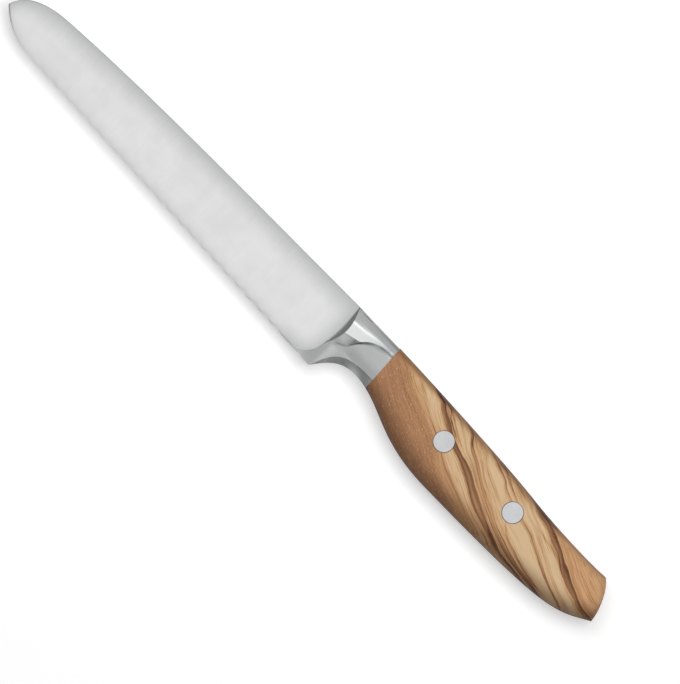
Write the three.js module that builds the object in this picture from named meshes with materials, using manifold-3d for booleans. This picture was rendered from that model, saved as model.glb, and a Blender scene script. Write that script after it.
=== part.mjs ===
// A sausage knife lying on its side, in millimetres.
// The tip points to -X, the spine to +Y, and one side of the handle faces +Z.
// The blade, the half bolster and the tang are one forging. Two wooden scales are
// glued to the tang and held by two rivets, each a tube pressed onto a pin.

import * as THREE from 'three';
import { mergeVertices } from 'three/addons/utils/BufferGeometryUtils.js';
import Module from 'manifold-3d';

const wasm = await Module();
wasm.setup();

// Blade outline, from the heel and from the straight line of the spine
const BLADE_LENGTH = 140;
const HEEL_DEPTH = 23.15;
const TIP_DROP = 12.65;
const NOSE_LENGTH = 20;
const NOSE_DROP = 3.15;
const NOSE_SLOPE = 0.079;
const NOSE_TIP_PULL = [2.4, 9.2];
const NOSE_PULL = 4;
const SPINE_NOSE_PULL = 30;
const SPINE_HEEL_PULL = [-36, -0.65];
const EDGE_CURVE_LENGTH = 18;
const EDGE_RISE = 3.75;
const TIP_EDGE_SLOPE = 0.95;

// Blade thickness on its flat ground faces
const SPINE_THICKNESS = 2.1;
const NOSE_THICKNESS = 1.4;
const EDGE_THICKNESS = 0.2;

// Wavy edge
const WAVE_PITCH = 5;
const WAVE_DEPTH = 0.3;
const WAVE_TIP_MARGIN = 13;
const WAVE_HEEL_MARGIN = 11;

// Neck and half bolster between the heel and the wood
const NECK_LENGTH = 15.5;
const NECK_DEPTH = 15.7;
const NECK_THICKNESS = 14;
const NECK_UPPER_SHOULDER = 3.35;
const NECK_LOWER_SHOULDER = 3.8;
const JOINT_LEAN = 1.2;
const PLUNGE_SETBACK = 1.6;
const PLUNGE_FACE_SETBACK = 0.7;
const PLUNGE_DEPTH = 13.6;
const FOOT_LENGTH = 9.5;
const BAR_THICKNESS = 6;
const BAR_SHOULDER = 3.9;
const PLUNGE_FILLET = 1.4;
const PLUNGE_FILLET_LEAST = 0.14;
const PLUNGE_FILLET_RUNOUT = 1;
const PLUNGE_PULL = [0, -6];
const FOOT_PULL = [5.5, 0.9];
const HEEL_SHARE = 0.25;
const ROOT_SINK = 0.8;
const RIDGE_DROPS = [8.8, 8, 7.25, 6.1, 3.85, 3.3];
const VALLEY_DROPS = [11.8, 10.1, 6.85, 4.5, 3.75];
const VALLEY_STEP = 0.45;
const NOTCH_HEEL_PULL = [4, 6.1];
const NOTCH_JOINT_PULL = [-9.5, 1.9];
const RIM_HEEL_PULL = [2.6, 8];
const RIM_JOINT_PULL = [-12, 0.7];

// Handle outline, from the joint and from the line of the spine
const HANDLE_LENGTH = 98.2;
const HANDLE_THICKNESS = 18.5;
const BELLY_OFFSET = 34.6;
const BELLY_DEPTH = 23.55;
const TAIL_OFFSET = 14.5;
const TAIL_DEPTH = 21.6;
const BEAK_DROP = 15.65;
const BACK_OFFSET = 59.4;
const BACK_DROP = 2.5;
const CORNER_OFFSET = 6.4;
const CORNER_DROP = 3.3;
const BACK_SLOPE = -0.105;
const CORNER_SLOPE = 0.1;
const TAIL_SLOPE = 0.18;
const BEAK_SLOPE = 0.49;
const CORNER_PULL = [3.1, -2.3];
const BEAK_PULL = [-0.6, 4.2];
const FORE_BACK_EASE = [0.1, 0.22];
const AFT_BACK_EASE = [0.31, 0.19];
const BELLY_EASE = [0.26, 0.54];
const UNDER_EASE = [0.36, 0.2];
const TAIL_EASE = [0.59, 0.24];

// Handle section
const TANG_THICKNESS = 2.2;
const GLUE_LINE = 0.1;
const SCALE_LIP = 0.4;
const UPPER_SHOULDER = 5.2;
const LOWER_SHOULDER = 9.2;
const BUTT_LOWER_SHOULDER = 6;
const SWELL_LENGTH = 26;
const SHOULDER_POWER = 2.2;
const BUTT_ROUND = 2.6;

// Rivets
const RIVET_OFFSET = 28.95;
const RIVET_SPACING = 29.5;
const RIVET_DROP = 9.9;
const RIVET_HEAD_DIAMETER = 6.5;
const RIVET_HEAD_DEPTH = 4;
const RIVET_TUBE_DIAMETER = 4.2;
const RIVET_PIN_DIAMETER = 2.8;
const RIVET_GRIP = 7;
const RIVET_PIN_CLEARANCE = 0.05;
const RIVET_HOLE_CLEARANCE = 0.12;
const RIVET_END_GAP = 0.5;
const TANG_ROOT = 3;

// Mesh fineness
const CURVE_STEPS = 24;
const WAVE_STEPS = 8;
const RIVET_SEGMENTS = 28;
const MERGE_DISTANCE = 1e-4;
const SHOULDER_STEPS = [0, 0.03, 0.12, 0.3, 0.6, 1];
const SLOPE_STEPS = [0.5, 1];
const SIDE_STEPS = [0.25, 0.5, 0.75, 1];
const RIM_STEPS = [0.4, 0.7, 0.88, 0.97, 1];
const FILLET_ROWS = 3;
const FOOT_ROWS = 2;
const NECK_ROWS = 8;
const SWELL_ROWS = 6;
const GRIP_ROWS = 8;
const BUTT_ROWS = 3;

const vec = (x, y) => new THREE.Vector2(x, y);
const lerp = THREE.MathUtils.lerp;
const mix = (a, b, t) => a.clone().lerp(b, t);
const pulled = (point, pull) => vec(point.x + pull[0], point.y + pull[1]);

// Solids and booleans

function toSolid(geometry) {
  const bare = geometry.clone();
  bare.deleteAttribute('normal');
  bare.deleteAttribute('uv');
  const merged = mergeVertices(bare, MERGE_DISTANCE);
  const corners = merged.index.array;
  const triangles = [];
  for (let i = 0; i < corners.length; i += 3) {
    const [a, b, c] = [corners[i], corners[i + 1], corners[i + 2]];
    if (a !== b && b !== c && c !== a) {
      triangles.push(a, b, c);
    }
  }
  return new wasm.Manifold(new wasm.Mesh({
    numProp: 3,
    vertProperties: new Float32Array(merged.attributes.position.array),
    triVerts: new Uint32Array(triangles),
  }));
}

function toGeometry(solid) {
  const mesh = solid.getMesh();
  const geometry = new THREE.BufferGeometry();
  geometry.setAttribute('position', new THREE.BufferAttribute(mesh.vertProperties, 3));
  geometry.setIndex(new THREE.BufferAttribute(mesh.triVerts, 1));
  geometry.computeVertexNormals();
  return geometry;
}

// Closes two matching sheets of points into one body. Rows run towards +X, columns towards -Y.
function closedSheets(upper, lower) {
  const rows = upper.length;
  const columns = upper[0].length;
  const points = [...upper.flat(), ...lower.flat()];
  const index = [];
  const top = (r, c) => r * columns + c;
  const bottom = (r, c) => (rows + r) * columns + c;
  const quad = (a, b, c, d) => index.push(a, b, c, a, c, d);
  for (let r = 0; r < rows - 1; r += 1) {
    for (let c = 0; c < columns - 1; c += 1) {
      quad(top(r, c), top(r, c + 1), top(r + 1, c + 1), top(r + 1, c));
      quad(bottom(r, c), bottom(r + 1, c), bottom(r + 1, c + 1), bottom(r, c + 1));
    }
    const last = columns - 1;
    quad(top(r, 0), top(r + 1, 0), bottom(r + 1, 0), bottom(r, 0));
    quad(top(r + 1, last), top(r, last), bottom(r, last), bottom(r + 1, last));
  }
  for (let c = 0; c < columns - 1; c += 1) {
    const end = rows - 1;
    quad(top(0, c + 1), top(0, c), bottom(0, c), bottom(0, c + 1));
    quad(top(end, c), top(end, c + 1), bottom(end, c + 1), bottom(end, c));
  }
  const geometry = new THREE.BufferGeometry();
  const coordinates = points.flatMap((p) => [p.x, p.y, p.z]);
  geometry.setAttribute('position', new THREE.Float32BufferAttribute(coordinates, 3));
  geometry.setIndex(index);
  return geometry;
}

// Quarter of a rounded section: 1 at the flat, 0 at the rim
function shoulder(reach) {
  const e = THREE.MathUtils.clamp(reach, 0, 1);
  return (1 - e ** SHOULDER_POWER) ** (1 / SHOULDER_POWER);
}

// Blade

const tip = vec(-BLADE_LENGTH, -TIP_DROP);
const plungeTop = vec(-PLUNGE_SETBACK, 0);
const nose = vec(tip.x + NOSE_LENGTH, -NOSE_DROP);
const edgeStart = vec(tip.x + EDGE_CURVE_LENGTH, -HEEL_DEPTH + EDGE_RISE);
const edgeSlope = EDGE_RISE / edgeStart.x;
const edgeLine = (x) => -HEEL_DEPTH + edgeSlope * x;

const noseCurve = new THREE.CubicBezierCurve(
  tip,
  pulled(tip, NOSE_TIP_PULL),
  pulled(nose, [-NOSE_PULL, -NOSE_PULL * NOSE_SLOPE]),
  nose,
);
const spineCurve = new THREE.CubicBezierCurve(
  nose,
  pulled(nose, [SPINE_NOSE_PULL, SPINE_NOSE_PULL * NOSE_SLOPE]),
  pulled(plungeTop, SPINE_HEEL_PULL),
  plungeTop,
);
const edgePull = EDGE_CURVE_LENGTH / 3;
const edgeCurve = new THREE.CubicBezierCurve(
  tip,
  pulled(tip, [edgePull, -edgePull * TIP_EDGE_SLOPE]),
  pulled(edgeStart, [-edgePull, -edgePull * edgeSlope]),
  edgeStart,
);

// The edge without waves at x: straight from the heel, then curving up to the tip.
// The curve's control points are evenly spaced along X, so its parameter runs evenly in x.
function plainEdge(x) {
  if (x > edgeStart.x) {
    return edgeLine(x);
  }
  return edgeCurve.getPoint((x - tip.x) / EDGE_CURVE_LENGTH).y;
}

const waveStart = tip.x + WAVE_TIP_MARGIN;
const waveCount = Math.floor((-WAVE_HEEL_MARGIN - waveStart) / WAVE_PITCH);
const waveEnd = waveStart + waveCount * WAVE_PITCH;

function edgeY(x) {
  if (x < waveStart || x > waveEnd) {
    return plainEdge(x);
  }
  const phase = 2 * Math.PI * (x - waveStart) / WAVE_PITCH;
  return plainEdge(x) + WAVE_DEPTH * (1 - Math.cos(phase)) / 2;
}

// Half thickness on the flat of the blade: a plane through the spine at the heel and at the nose
// and through the edge where it begins to curve
const across = new THREE.Matrix3().set(
  0, 0, 1,
  nose.x, nose.y, 1,
  edgeStart.x, edgeStart.y, 1,
).invert();
const taper = new THREE.Vector3(SPINE_THICKNESS, NOSE_THICKNESS, EDGE_THICKNESS)
  .divideScalar(2)
  .applyMatrix3(across);
const bladeHalf = (x, y) => taper.x * x + taper.y * y + taper.z;

// The line where the ground blade runs into the neck, from the spine down to the foot
const plungeFace = vec(-PLUNGE_FACE_SETBACK, -PLUNGE_DEPTH);
const footTip = vec(-FOOT_LENGTH, edgeLine(-FOOT_LENGTH));
const plungeUpper = new THREE.QuadraticBezierCurve(
  plungeTop,
  vec(plungeFace.x, -PLUNGE_DEPTH / 2),
  plungeFace,
);
const plungeLower = new THREE.CubicBezierCurve(
  plungeFace,
  pulled(plungeFace, PLUNGE_PULL),
  pulled(footTip, FOOT_PULL),
  footTip,
);

function blade() {
  const outline = [
    ...noseCurve.getPoints(CURVE_STEPS),
    ...spineCurve.getPoints(CURVE_STEPS).slice(1),
  ];
  const root = [
    ...plungeUpper.getPoints(CURVE_STEPS / 3),
    ...plungeLower.getPoints(CURVE_STEPS / 3).slice(1),
  ];
  for (const point of root) {
    const inside = point.clone().setX(point.x + PLUNGE_FILLET);
    inside.y = Math.max(inside.y, plainEdge(inside.x));
    outline.push(inside);
  }
  const waveSteps = waveCount * WAVE_STEPS;
  for (let i = 0; i <= waveSteps; i += 1) {
    const x = lerp(waveEnd, waveStart, i / waveSteps);
    outline.push(vec(x, edgeY(x)));
  }
  const plainSteps = CURVE_STEPS / 3;
  for (let i = 1; i < plainSteps; i += 1) {
    const x = lerp(waveStart, tip.x, i / plainSteps);
    outline.push(vec(x, plainEdge(x)));
  }
  const geometry = new THREE.ExtrudeGeometry(new THREE.Shape(outline), { depth: 1, bevelEnabled: false });
  const position = geometry.attributes.position;
  for (let i = 0; i < position.count; i += 1) {
    const half = bladeHalf(position.getX(i), position.getY(i));
    position.setZ(i, position.getZ(i) > 0.5 ? half : -half);
  }
  return toSolid(geometry);
}

// Neck and half bolster

const jointX = (y) => NECK_LENGTH - JOINT_LEAN * y / NECK_DEPTH;
const joint = (y) => vec(jointX(y), y);
const jointTop = joint(0);
const jointBottom = joint(-NECK_DEPTH);
const heel = vec(0, -HEEL_DEPTH);
const neckHalf = NECK_THICKNESS / 2;
const tangHalf = TANG_THICKNESS / 2;
const scaleFloor = tangHalf + GLUE_LINE;
const rimHalf = scaleFloor + SCALE_LIP;

// A line along the neck through drops below the spine at even steps
function neckLine(drops) {
  const points = drops.map((drop, i) => {
    const end = joint(-drops[drops.length - 1]).x;
    return vec(lerp(-PLUNGE_FACE_SETBACK, end, i / (drops.length - 1)), -drop);
  });
  return new THREE.SplineCurve(points);
}

// The bar of the neck ends below in a ridge, and slopes from it to a valley in the side face
const ridge = neckLine([...RIDGE_DROPS, NECK_UPPER_SHOULDER]);
const valley = neckLine([PLUNGE_DEPTH, ...VALLEY_DROPS, NECK_UPPER_SHOULDER + VALLEY_STEP]);

// The finger notch under the neck, and the line where its rounded rim begins
const notch = new THREE.CubicBezierCurve(
  heel,
  pulled(heel, NOTCH_HEEL_PULL),
  pulled(jointBottom, NOTCH_JOINT_PULL),
  jointBottom,
);
const rimEnd = joint(-NECK_DEPTH + NECK_LOWER_SHOULDER);
const rim = new THREE.CubicBezierCurve(
  heel,
  pulled(heel, RIM_HEEL_PULL),
  pulled(rimEnd, RIM_JOINT_PULL),
  rimEnd,
);

// Share of the plunge fillet's height at a point: a hollow curve that ends in a crisp edge
function filletShare(x, y, start) {
  const swing = (PLUNGE_FILLET_RUNOUT - y) / (PLUNGE_DEPTH + 2 * PLUNGE_FILLET_RUNOUT);
  const bow = Math.sin(Math.PI * THREE.MathUtils.clamp(swing, 0, 1));
  const width = Math.max(PLUNGE_FILLET * bow, PLUNGE_FILLET_LEAST);
  const q = (x - start) / width;
  return q < 1 ? 1 - Math.sqrt(1 - q * q) : 1;
}

function sunkHalf(point) {
  return bladeHalf(point.x, point.y) * ROOT_SINK;
}

// One row of points across the neck at share s of the way from the plunge line to the joint
function neckRow(s) {
  const row = [];
  const add = (point, z) => row.push(new THREE.Vector3(point.x, point.y, z));
  const crest = ridge.getPoint(s);
  const dip = valley.getPoint(s);
  const top = mix(plungeTop, jointTop, s);
  const barHalf = lerp(BAR_THICKNESS / 2, neckHalf, s);
  const barShoulder = lerp(BAR_SHOULDER, NECK_UPPER_SHOULDER, s);
  const spineHalf = lerp(SPINE_THICKNESS / 2, rimHalf, s);
  const raise = (point, left, half) => {
    const root = sunkHalf(left);
    add(point, lerp(root, half, filletShare(point.x, point.y, left.x)));
  };
  for (const t of SHOULDER_STEPS) {
    const point = mix(top, crest, t);
    const half = lerp(spineHalf, barHalf, shoulder(1 + point.y / barShoulder));
    raise(point, mix(plungeTop, ridge.getPoint(0), t), half);
  }
  for (const t of SLOPE_STEPS) {
    const left = mix(ridge.getPoint(0), plungeFace, t);
    const sideHalf = lerp(sunkHalf(plungeFace), neckHalf, s);
    raise(mix(crest, dip, t), left, lerp(barHalf, sideHalf, t));
  }
  const onFoot = s < HEEL_SHARE;
  const along = (s - HEEL_SHARE) / (1 - HEEL_SHARE);
  const foot = onFoot ? mix(footTip, heel, s / HEEL_SHARE) : rim.getPoint(along);
  const bend = onFoot ? (1 - s / HEEL_SHARE) ** 2 : 0;
  for (const t of SIDE_STEPS) {
    const left = plungeLower.getPoint(t);
    const bulge = left.clone().sub(mix(plungeFace, footTip, t)).multiplyScalar(bend);
    add(mix(dip, foot, t).add(bulge), lerp(sunkHalf(left), neckHalf, s));
  }
  const footHalf = lerp(sunkHalf(footTip), neckHalf, s);
  const heelHalf = lerp(sunkHalf(footTip), neckHalf, HEEL_SHARE);
  for (const t of RIM_STEPS) {
    if (onFoot) {
      add(foot, footHalf);
    } else {
      const under = notch.getPoint(along);
      const edgeHalf = lerp(heelHalf, rimHalf, along);
      add(mix(foot, under, t), lerp(edgeHalf, footHalf, shoulder(t)));
    }
  }
  return row;
}

function neck() {
  const filletEnd = PLUNGE_FILLET / (NECK_LENGTH + PLUNGE_FACE_SETBACK);
  const shares = [];
  for (let i = 0; i < FILLET_ROWS; i += 1) {
    shares.push(filletEnd * i / FILLET_ROWS);
  }
  for (let i = 0; i < FOOT_ROWS; i += 1) {
    shares.push(lerp(filletEnd, HEEL_SHARE, i / FOOT_ROWS));
  }
  for (let i = 0; i <= NECK_ROWS; i += 1) {
    shares.push(lerp(HEEL_SHARE, 1, i / NECK_ROWS));
  }
  const upper = shares.map(neckRow);
  const lower = upper.map((row) => row.map((p) => new THREE.Vector3(p.x, p.y, -p.z)));
  return toSolid(closedSheets(upper, lower));
}

// Handle outline

const beak = vec(NECK_LENGTH + HANDLE_LENGTH, -BEAK_DROP);
const corner = vec(beak.x - CORNER_OFFSET, -CORNER_DROP);
const backPoint = vec(NECK_LENGTH + BACK_OFFSET, -BACK_DROP);
const belly = vec(NECK_LENGTH + BELLY_OFFSET, -BELLY_DEPTH);
const tail = vec(beak.x - TAIL_OFFSET, -TAIL_DEPTH);

// A curve between two points that leaves and arrives at given slopes, each held for a share of the run
function bend(from, fromSlope, to, toSlope, ease) {
  const leave = (to.x - from.x) * ease[0];
  const arrive = (to.x - from.x) * ease[1];
  return new THREE.CubicBezierCurve(
    from,
    pulled(from, [leave, leave * fromSlope]),
    pulled(to, [-arrive, -arrive * toSlope]),
    to,
  );
}

function chain(...curves) {
  const path = new THREE.CurvePath();
  curves.forEach((curve) => path.add(curve));
  return path;
}

const notchSlope = NOTCH_JOINT_PULL[1] / NOTCH_JOINT_PULL[0];
const handleTop = chain(
  bend(jointTop, 0, backPoint, BACK_SLOPE, FORE_BACK_EASE),
  bend(backPoint, BACK_SLOPE, corner, CORNER_SLOPE, AFT_BACK_EASE),
);
const handleBottom = chain(
  bend(jointBottom, notchSlope, belly, 0, BELLY_EASE),
  bend(belly, 0, tail, TAIL_SLOPE, UNDER_EASE),
  bend(tail, TAIL_SLOPE, beak, BEAK_SLOPE, TAIL_EASE),
);
const butt = new THREE.CubicBezierCurve(corner, pulled(corner, CORNER_PULL), pulled(beak, BEAK_PULL), beak);

// Rivet places and levels, shared by the rivets and their holes

const handleHalf = HANDLE_THICKNESS / 2;
const headRadius = RIVET_HEAD_DIAMETER / 2;
const tubeRadius = RIVET_TUBE_DIAMETER / 2;
const pinRadius = RIVET_PIN_DIAMETER / 2;
const rivetSeat = handleHalf - RIVET_HEAD_DEPTH;
const rivetCentres = {
  front: vec(NECK_LENGTH + RIVET_OFFSET, -RIVET_DROP),
  rear: vec(NECK_LENGTH + RIVET_OFFSET + RIVET_SPACING, -RIVET_DROP),
};

// A turned solid about the Z axis from a profile of radius and height
function turned(profile) {
  const lathe = new THREE.LatheGeometry(profile.map(([r, z]) => vec(r, z)), RIVET_SEGMENTS);
  return toSolid(lathe.rotateX(Math.PI / 2));
}

function rivetFemale() {
  const tubeEnd = RIVET_END_GAP - rivetSeat;
  const boreRadius = pinRadius + RIVET_PIN_CLEARANCE;
  const boreEnd = tubeEnd + RIVET_GRIP + RIVET_END_GAP;
  return turned([
    [0, boreEnd],
    [boreRadius, boreEnd],
    [boreRadius, tubeEnd],
    [tubeRadius, tubeEnd],
    [tubeRadius, rivetSeat],
    [headRadius, rivetSeat],
    [headRadius, handleHalf],
    [0, handleHalf],
  ]);
}

function rivetMale() {
  const pinEnd = RIVET_END_GAP - rivetSeat + RIVET_GRIP;
  return turned([
    [0, -handleHalf],
    [headRadius, -handleHalf],
    [headRadius, -rivetSeat],
    [pinRadius, -rivetSeat],
    [pinRadius, pinEnd],
    [0, pinEnd],
  ]);
}

// The stepped hole that a scale has for one rivet, on the side facing +Z
function rivetHole() {
  const tubeHole = tubeRadius + RIVET_HOLE_CLEARANCE;
  const headHole = headRadius + RIVET_HOLE_CLEARANCE;
  const seat = rivetSeat - RIVET_HOLE_CLEARANCE;
  return turned([
    [0, 0],
    [tubeHole, 0],
    [tubeHole, seat],
    [headHole, seat],
    [headHole, handleHalf + RIVET_HEAD_DEPTH],
    [0, handleHalf + RIVET_HEAD_DEPTH],
  ]);
}

function tang() {
  const root = NECK_LENGTH - TANG_ROOT;
  const outline = new THREE.Shape([
    vec(root, -NECK_UPPER_SHOULDER),
    ...handleTop.getSpacedPoints(CURVE_STEPS),
    ...butt.getPoints(CURVE_STEPS / 3).slice(1),
    ...handleBottom.getSpacedPoints(CURVE_STEPS).reverse().slice(1),
    vec(root, rimEnd.y),
  ]);
  for (const centre of Object.values(rivetCentres)) {
    const hole = new THREE.Path();
    hole.absarc(centre.x, centre.y, tubeRadius + RIVET_HOLE_CLEARANCE, 0, 2 * Math.PI);
    outline.holes.push(hole);
  }
  const geometry = new THREE.ExtrudeGeometry(outline, {
    depth: TANG_THICKNESS,
    bevelEnabled: false,
    curveSegments: RIVET_SEGMENTS / 2,
  });
  return toSolid(geometry.translate(0, 0, -tangHalf));
}

// Wooden scales

const backLength = handleTop.getLength();
const swellShare = SWELL_LENGTH / backLength;
const buttShare = 1 - BUTT_ROUND / backLength;

// One row of points over a scale, from its upper to its lower rim, at share s from joint to butt
function scaleRow(s) {
  const top = handleTop.getPoint(s);
  const bottom = handleBottom.getPoint(s);
  const height = top.distanceTo(bottom);
  const swell = THREE.MathUtils.smoothstep(s, 0, swellShare);
  const half = lerp(neckHalf, handleHalf, swell);
  const gripLower = lerp(LOWER_SHOULDER, BUTT_LOWER_SHOULDER, THREE.MathUtils.smoothstep(s, swellShare, 1));
  const upper = lerp(NECK_UPPER_SHOULDER, UPPER_SHOULDER, swell) / height;
  const lower = lerp(NECK_LOWER_SHOULDER, gripLower, swell) / height;
  const turn = Math.max(0, (s - buttShare) / (1 - buttShare));
  const round = BUTT_ROUND * (1 - Math.sqrt(1 - turn * turn)) / (half - rimHalf);
  const row = [];
  const add = (t, reach) => {
    const chord = mix(top, bottom, t);
    const bulge = butt.getPoint(t).sub(mix(corner, beak, t)).multiplyScalar(s ** 4);
    const crown = shoulder(reach) * (1 - round);
    row.push(new THREE.Vector3(
      chord.x + bulge.x + GLUE_LINE * (1 - s),
      chord.y + bulge.y,
      lerp(rimHalf, half, crown),
    ));
  };
  SHOULDER_STEPS.forEach((share) => add(upper * share, 1 - share));
  add(1 - lower, 0);
  RIM_STEPS.forEach((share) => add(1 - lower * (1 - share), share));
  return row;
}

function scale(side) {
  const shares = [];
  for (let i = 0; i < SWELL_ROWS; i += 1) {
    shares.push(swellShare * i / SWELL_ROWS);
  }
  for (let i = 0; i < GRIP_ROWS; i += 1) {
    shares.push(lerp(swellShare, buttShare, i / GRIP_ROWS));
  }
  for (let i = 0; i <= BUTT_ROWS; i += 1) {
    shares.push(lerp(buttShare, 1, Math.sin(i / BUTT_ROWS * Math.PI / 2)));
  }
  const outer = shares.map(scaleRow);
  const sheet = (level) => outer.map((row) => row.map((p) => new THREE.Vector3(p.x, p.y, level(p.z))));
  const body = side > 0
    ? closedSheets(sheet((z) => z), sheet(() => scaleFloor))
    : closedSheets(sheet(() => -scaleFloor), sheet((z) => -z));
  let solid = toSolid(body);
  for (const centre of Object.values(rivetCentres)) {
    const hole = side > 0 ? rivetHole() : rivetHole().rotate([180, 0, 0]);
    solid = solid.subtract(hole.translate([centre.x, centre.y, 0]));
  }
  return solid;
}

// Assembly

const steel = { color: 0xc9cccd, metalness: 1, roughness: 0.32 };
const rivetSteel = { color: 0xd6d7d8, metalness: 1, roughness: 0.28 };
const oliveWood = { color: 0xbf905f, metalness: 0, roughness: 0.5 };

function node(name, solid, finish) {
  const mesh = new THREE.Mesh(toGeometry(solid), new THREE.MeshStandardMaterial(finish));
  mesh.name = name;
  return mesh;
}

const knife = new THREE.Group();
knife.add(node('forging', blade().add(neck()).add(tang()), steel));
knife.add(node('front_scale', scale(1), oliveWood));
knife.add(node('back_scale', scale(-1), oliveWood));
for (const [place, centre] of Object.entries(rivetCentres)) {
  const female = node(`${place}_rivet_female`, rivetFemale(), rivetSteel);
  const male = node(`${place}_rivet_male`, rivetMale(), rivetSteel);
  for (const half of [female, male]) {
    half.position.set(centre.x, centre.y, 0);
    knife.add(half);
  }
}

// The origin is under the middle of the knife, on the surface that its back scale lies on
const box = new THREE.Box3().setFromObject(knife);
const middle = box.getCenter(new THREE.Vector3());
knife.position.set(-middle.x, -middle.y, -box.min.z);

const part = new THREE.Group();
part.add(knife);

export default part;
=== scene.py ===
import math

import bmesh
import bpy
import numpy as np
from bpy.props import FloatProperty, FloatVectorProperty, PointerProperty
from bpy.types import Operator, Panel, PropertyGroup
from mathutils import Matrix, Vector


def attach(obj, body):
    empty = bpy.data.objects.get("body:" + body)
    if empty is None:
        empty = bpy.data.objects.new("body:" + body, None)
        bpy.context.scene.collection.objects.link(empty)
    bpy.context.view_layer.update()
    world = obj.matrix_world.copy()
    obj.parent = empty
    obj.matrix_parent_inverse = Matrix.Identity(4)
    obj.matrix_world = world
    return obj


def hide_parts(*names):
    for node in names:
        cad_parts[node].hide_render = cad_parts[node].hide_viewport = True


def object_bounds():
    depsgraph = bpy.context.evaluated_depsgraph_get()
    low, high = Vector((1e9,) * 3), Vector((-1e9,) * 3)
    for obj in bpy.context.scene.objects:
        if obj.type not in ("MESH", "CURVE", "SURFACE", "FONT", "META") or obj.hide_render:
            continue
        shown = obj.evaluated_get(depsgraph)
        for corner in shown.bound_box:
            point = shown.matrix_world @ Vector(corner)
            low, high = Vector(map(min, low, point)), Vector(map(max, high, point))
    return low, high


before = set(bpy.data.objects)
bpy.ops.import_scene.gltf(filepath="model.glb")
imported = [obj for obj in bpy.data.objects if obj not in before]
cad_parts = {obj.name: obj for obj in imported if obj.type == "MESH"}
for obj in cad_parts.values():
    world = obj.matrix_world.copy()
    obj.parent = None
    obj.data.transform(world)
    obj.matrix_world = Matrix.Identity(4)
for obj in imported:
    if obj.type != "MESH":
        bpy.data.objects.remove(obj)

bl_info = {
    "name": "Sausage Knife",
    "version": (1, 0, 0),
    "blender": (4, 5, 0),
    "location": "3D View > Sidebar > Knife",
    "description": "Builds a sausage knife with a wavy edge, a half bolster and riveted wooden scales",
    "category": "Add Mesh",
}

CAD_LOW, CAD_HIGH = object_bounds()
MM = 0.001

# Outline of the blade in millimetres: X from the heel, Y from the line of the spine, Z from the middle plane
BLADE_LENGTH = 140.0
TIP = np.array([-BLADE_LENGTH, -12.65])
NOSE = np.array([-120.0, -3.15])
NOSE_SLOPE = 0.079
NOSE_TIP_PULL = (2.4, 9.2)
NOSE_PULL = 4.0
SPINE_NOSE_PULL = 30.0
SPINE_HEEL_PULL = (-36.0, -0.65)
HEEL = np.array([0.0, -23.15])
EDGE_START = np.array([-122.0, -19.4])
TIP_EDGE_SLOPE = 0.95
WAVE_TIP_MARGIN = 13.0
WAVE_HEEL_MARGIN = 11.0
SPINE_HALF = 1.05
NOSE_HALF = 0.7
EDGE_PLANE_HALF = 0.1
EDGE_HALF = 0.02
SPINE_ROUND = 0.3
SPINE_ROUND_SHARE = 0.6
CROWN_WIDTH = 5.0
CROWN_DROP = 0.1
BEVEL_SHARE = 0.75
TIP_ROWS = 28
TIP_SHARE = 0.03
TIP_CROWDING = 1.6
BLADE_ROWS = 365
SPINE_STEPS = 400

# Neck and half bolster
PLUNGE_TOP = np.array([-2.0, 0.0])
PLUNGE_FACE = np.array([-1.6, -13.6])
PLUNGE_PULL = (0.0, -6.0)
FOOT_LENGTH = 9.5
FOOT_PULL = (5.5, 0.9)
HEEL_SHARE = 0.25
NECK_LENGTH = 15.5
NECK_DEPTH = 15.7
NECK_HALF = 7.0
NECK_UPPER_SHOULDER = 3.35
NECK_LOWER_SHOULDER = 3.8
JOINT_LEAN = 1.2
FILLET_LEAST = 0.3
FILLET_POWER = 2.6
FILLET_ABOVE = 1.0
FILLET_BELOW = 4.0
FILLET_ROWS = 13
LEG_ROWS = 18
NECK_ROWS = 46
PLUNGE_STEPS = 200
SATIN_ROWS = 7
FOOT_STEP = 0.55
RIDGE_DROPS = (8.95, 8.65, 8.3, 7.95, 7.6, 7.15, 5.75, 4.7, 4.05, 3.65, 3.4, 3.25, 3.3)
VALLEY_DROPS = (13.9, 13.0, 12.1, 11.2, 10.0, 7.8, 6.25, 5.2, 4.55, 4.15, 3.9, 3.75, 3.8)
NOTCH_HEEL_PULL = (4.0, 6.1)
NOTCH_JOINT_PULL = (-9.5, 1.9)
RIM_HEEL_PULL = (2.6, 8.0)
RIM_JOINT_PULL = (-12.0, 0.3)
BAR_DROPS = (0.0, 0.9, 4.05, 5.15, 14.0)
BAR_HALVES = (1.14, 1.72, 3.38, 3.77, 4.0)
COLLAR_DROPS = (0.0, 0.05, 1.2, 2.45, 3.1, 3.45, 14.0)
COLLAR_HALVES = (1.6, 5.1, 6.0, 6.7, 6.92, 6.97, 7.0)
CREASE_DROPS = np.array([0.0, 0.08, 0.15, 0.2, 0.25])
CREASE_SHARE = 0.12
BAR_BLUR = 0.4
SECTION_DEPTH = 16.0
SECTION_STEP = 0.025
BAR_POWER = 1.4
GROOVE_SHARES = (0.0, 0.15, 0.32, 0.55, 0.8, 1.0)
GROOVE_DEPTHS = (0.0, 0.4, 0.6, 0.46, 0.42, 0.4)
GROOVE_WIDTH = 1.2
GROOVE_POWER = 1.8
LEG_LIFT = 2.05
RIM_DROP = 12.5
HEEL_EDGE_HALF = 0.2
RIM_SHARES = (0.0, 0.35, 0.6, 1.0)
RIM_SLOPES = (0.72, 0.86, 0.725, 0.69)

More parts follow.
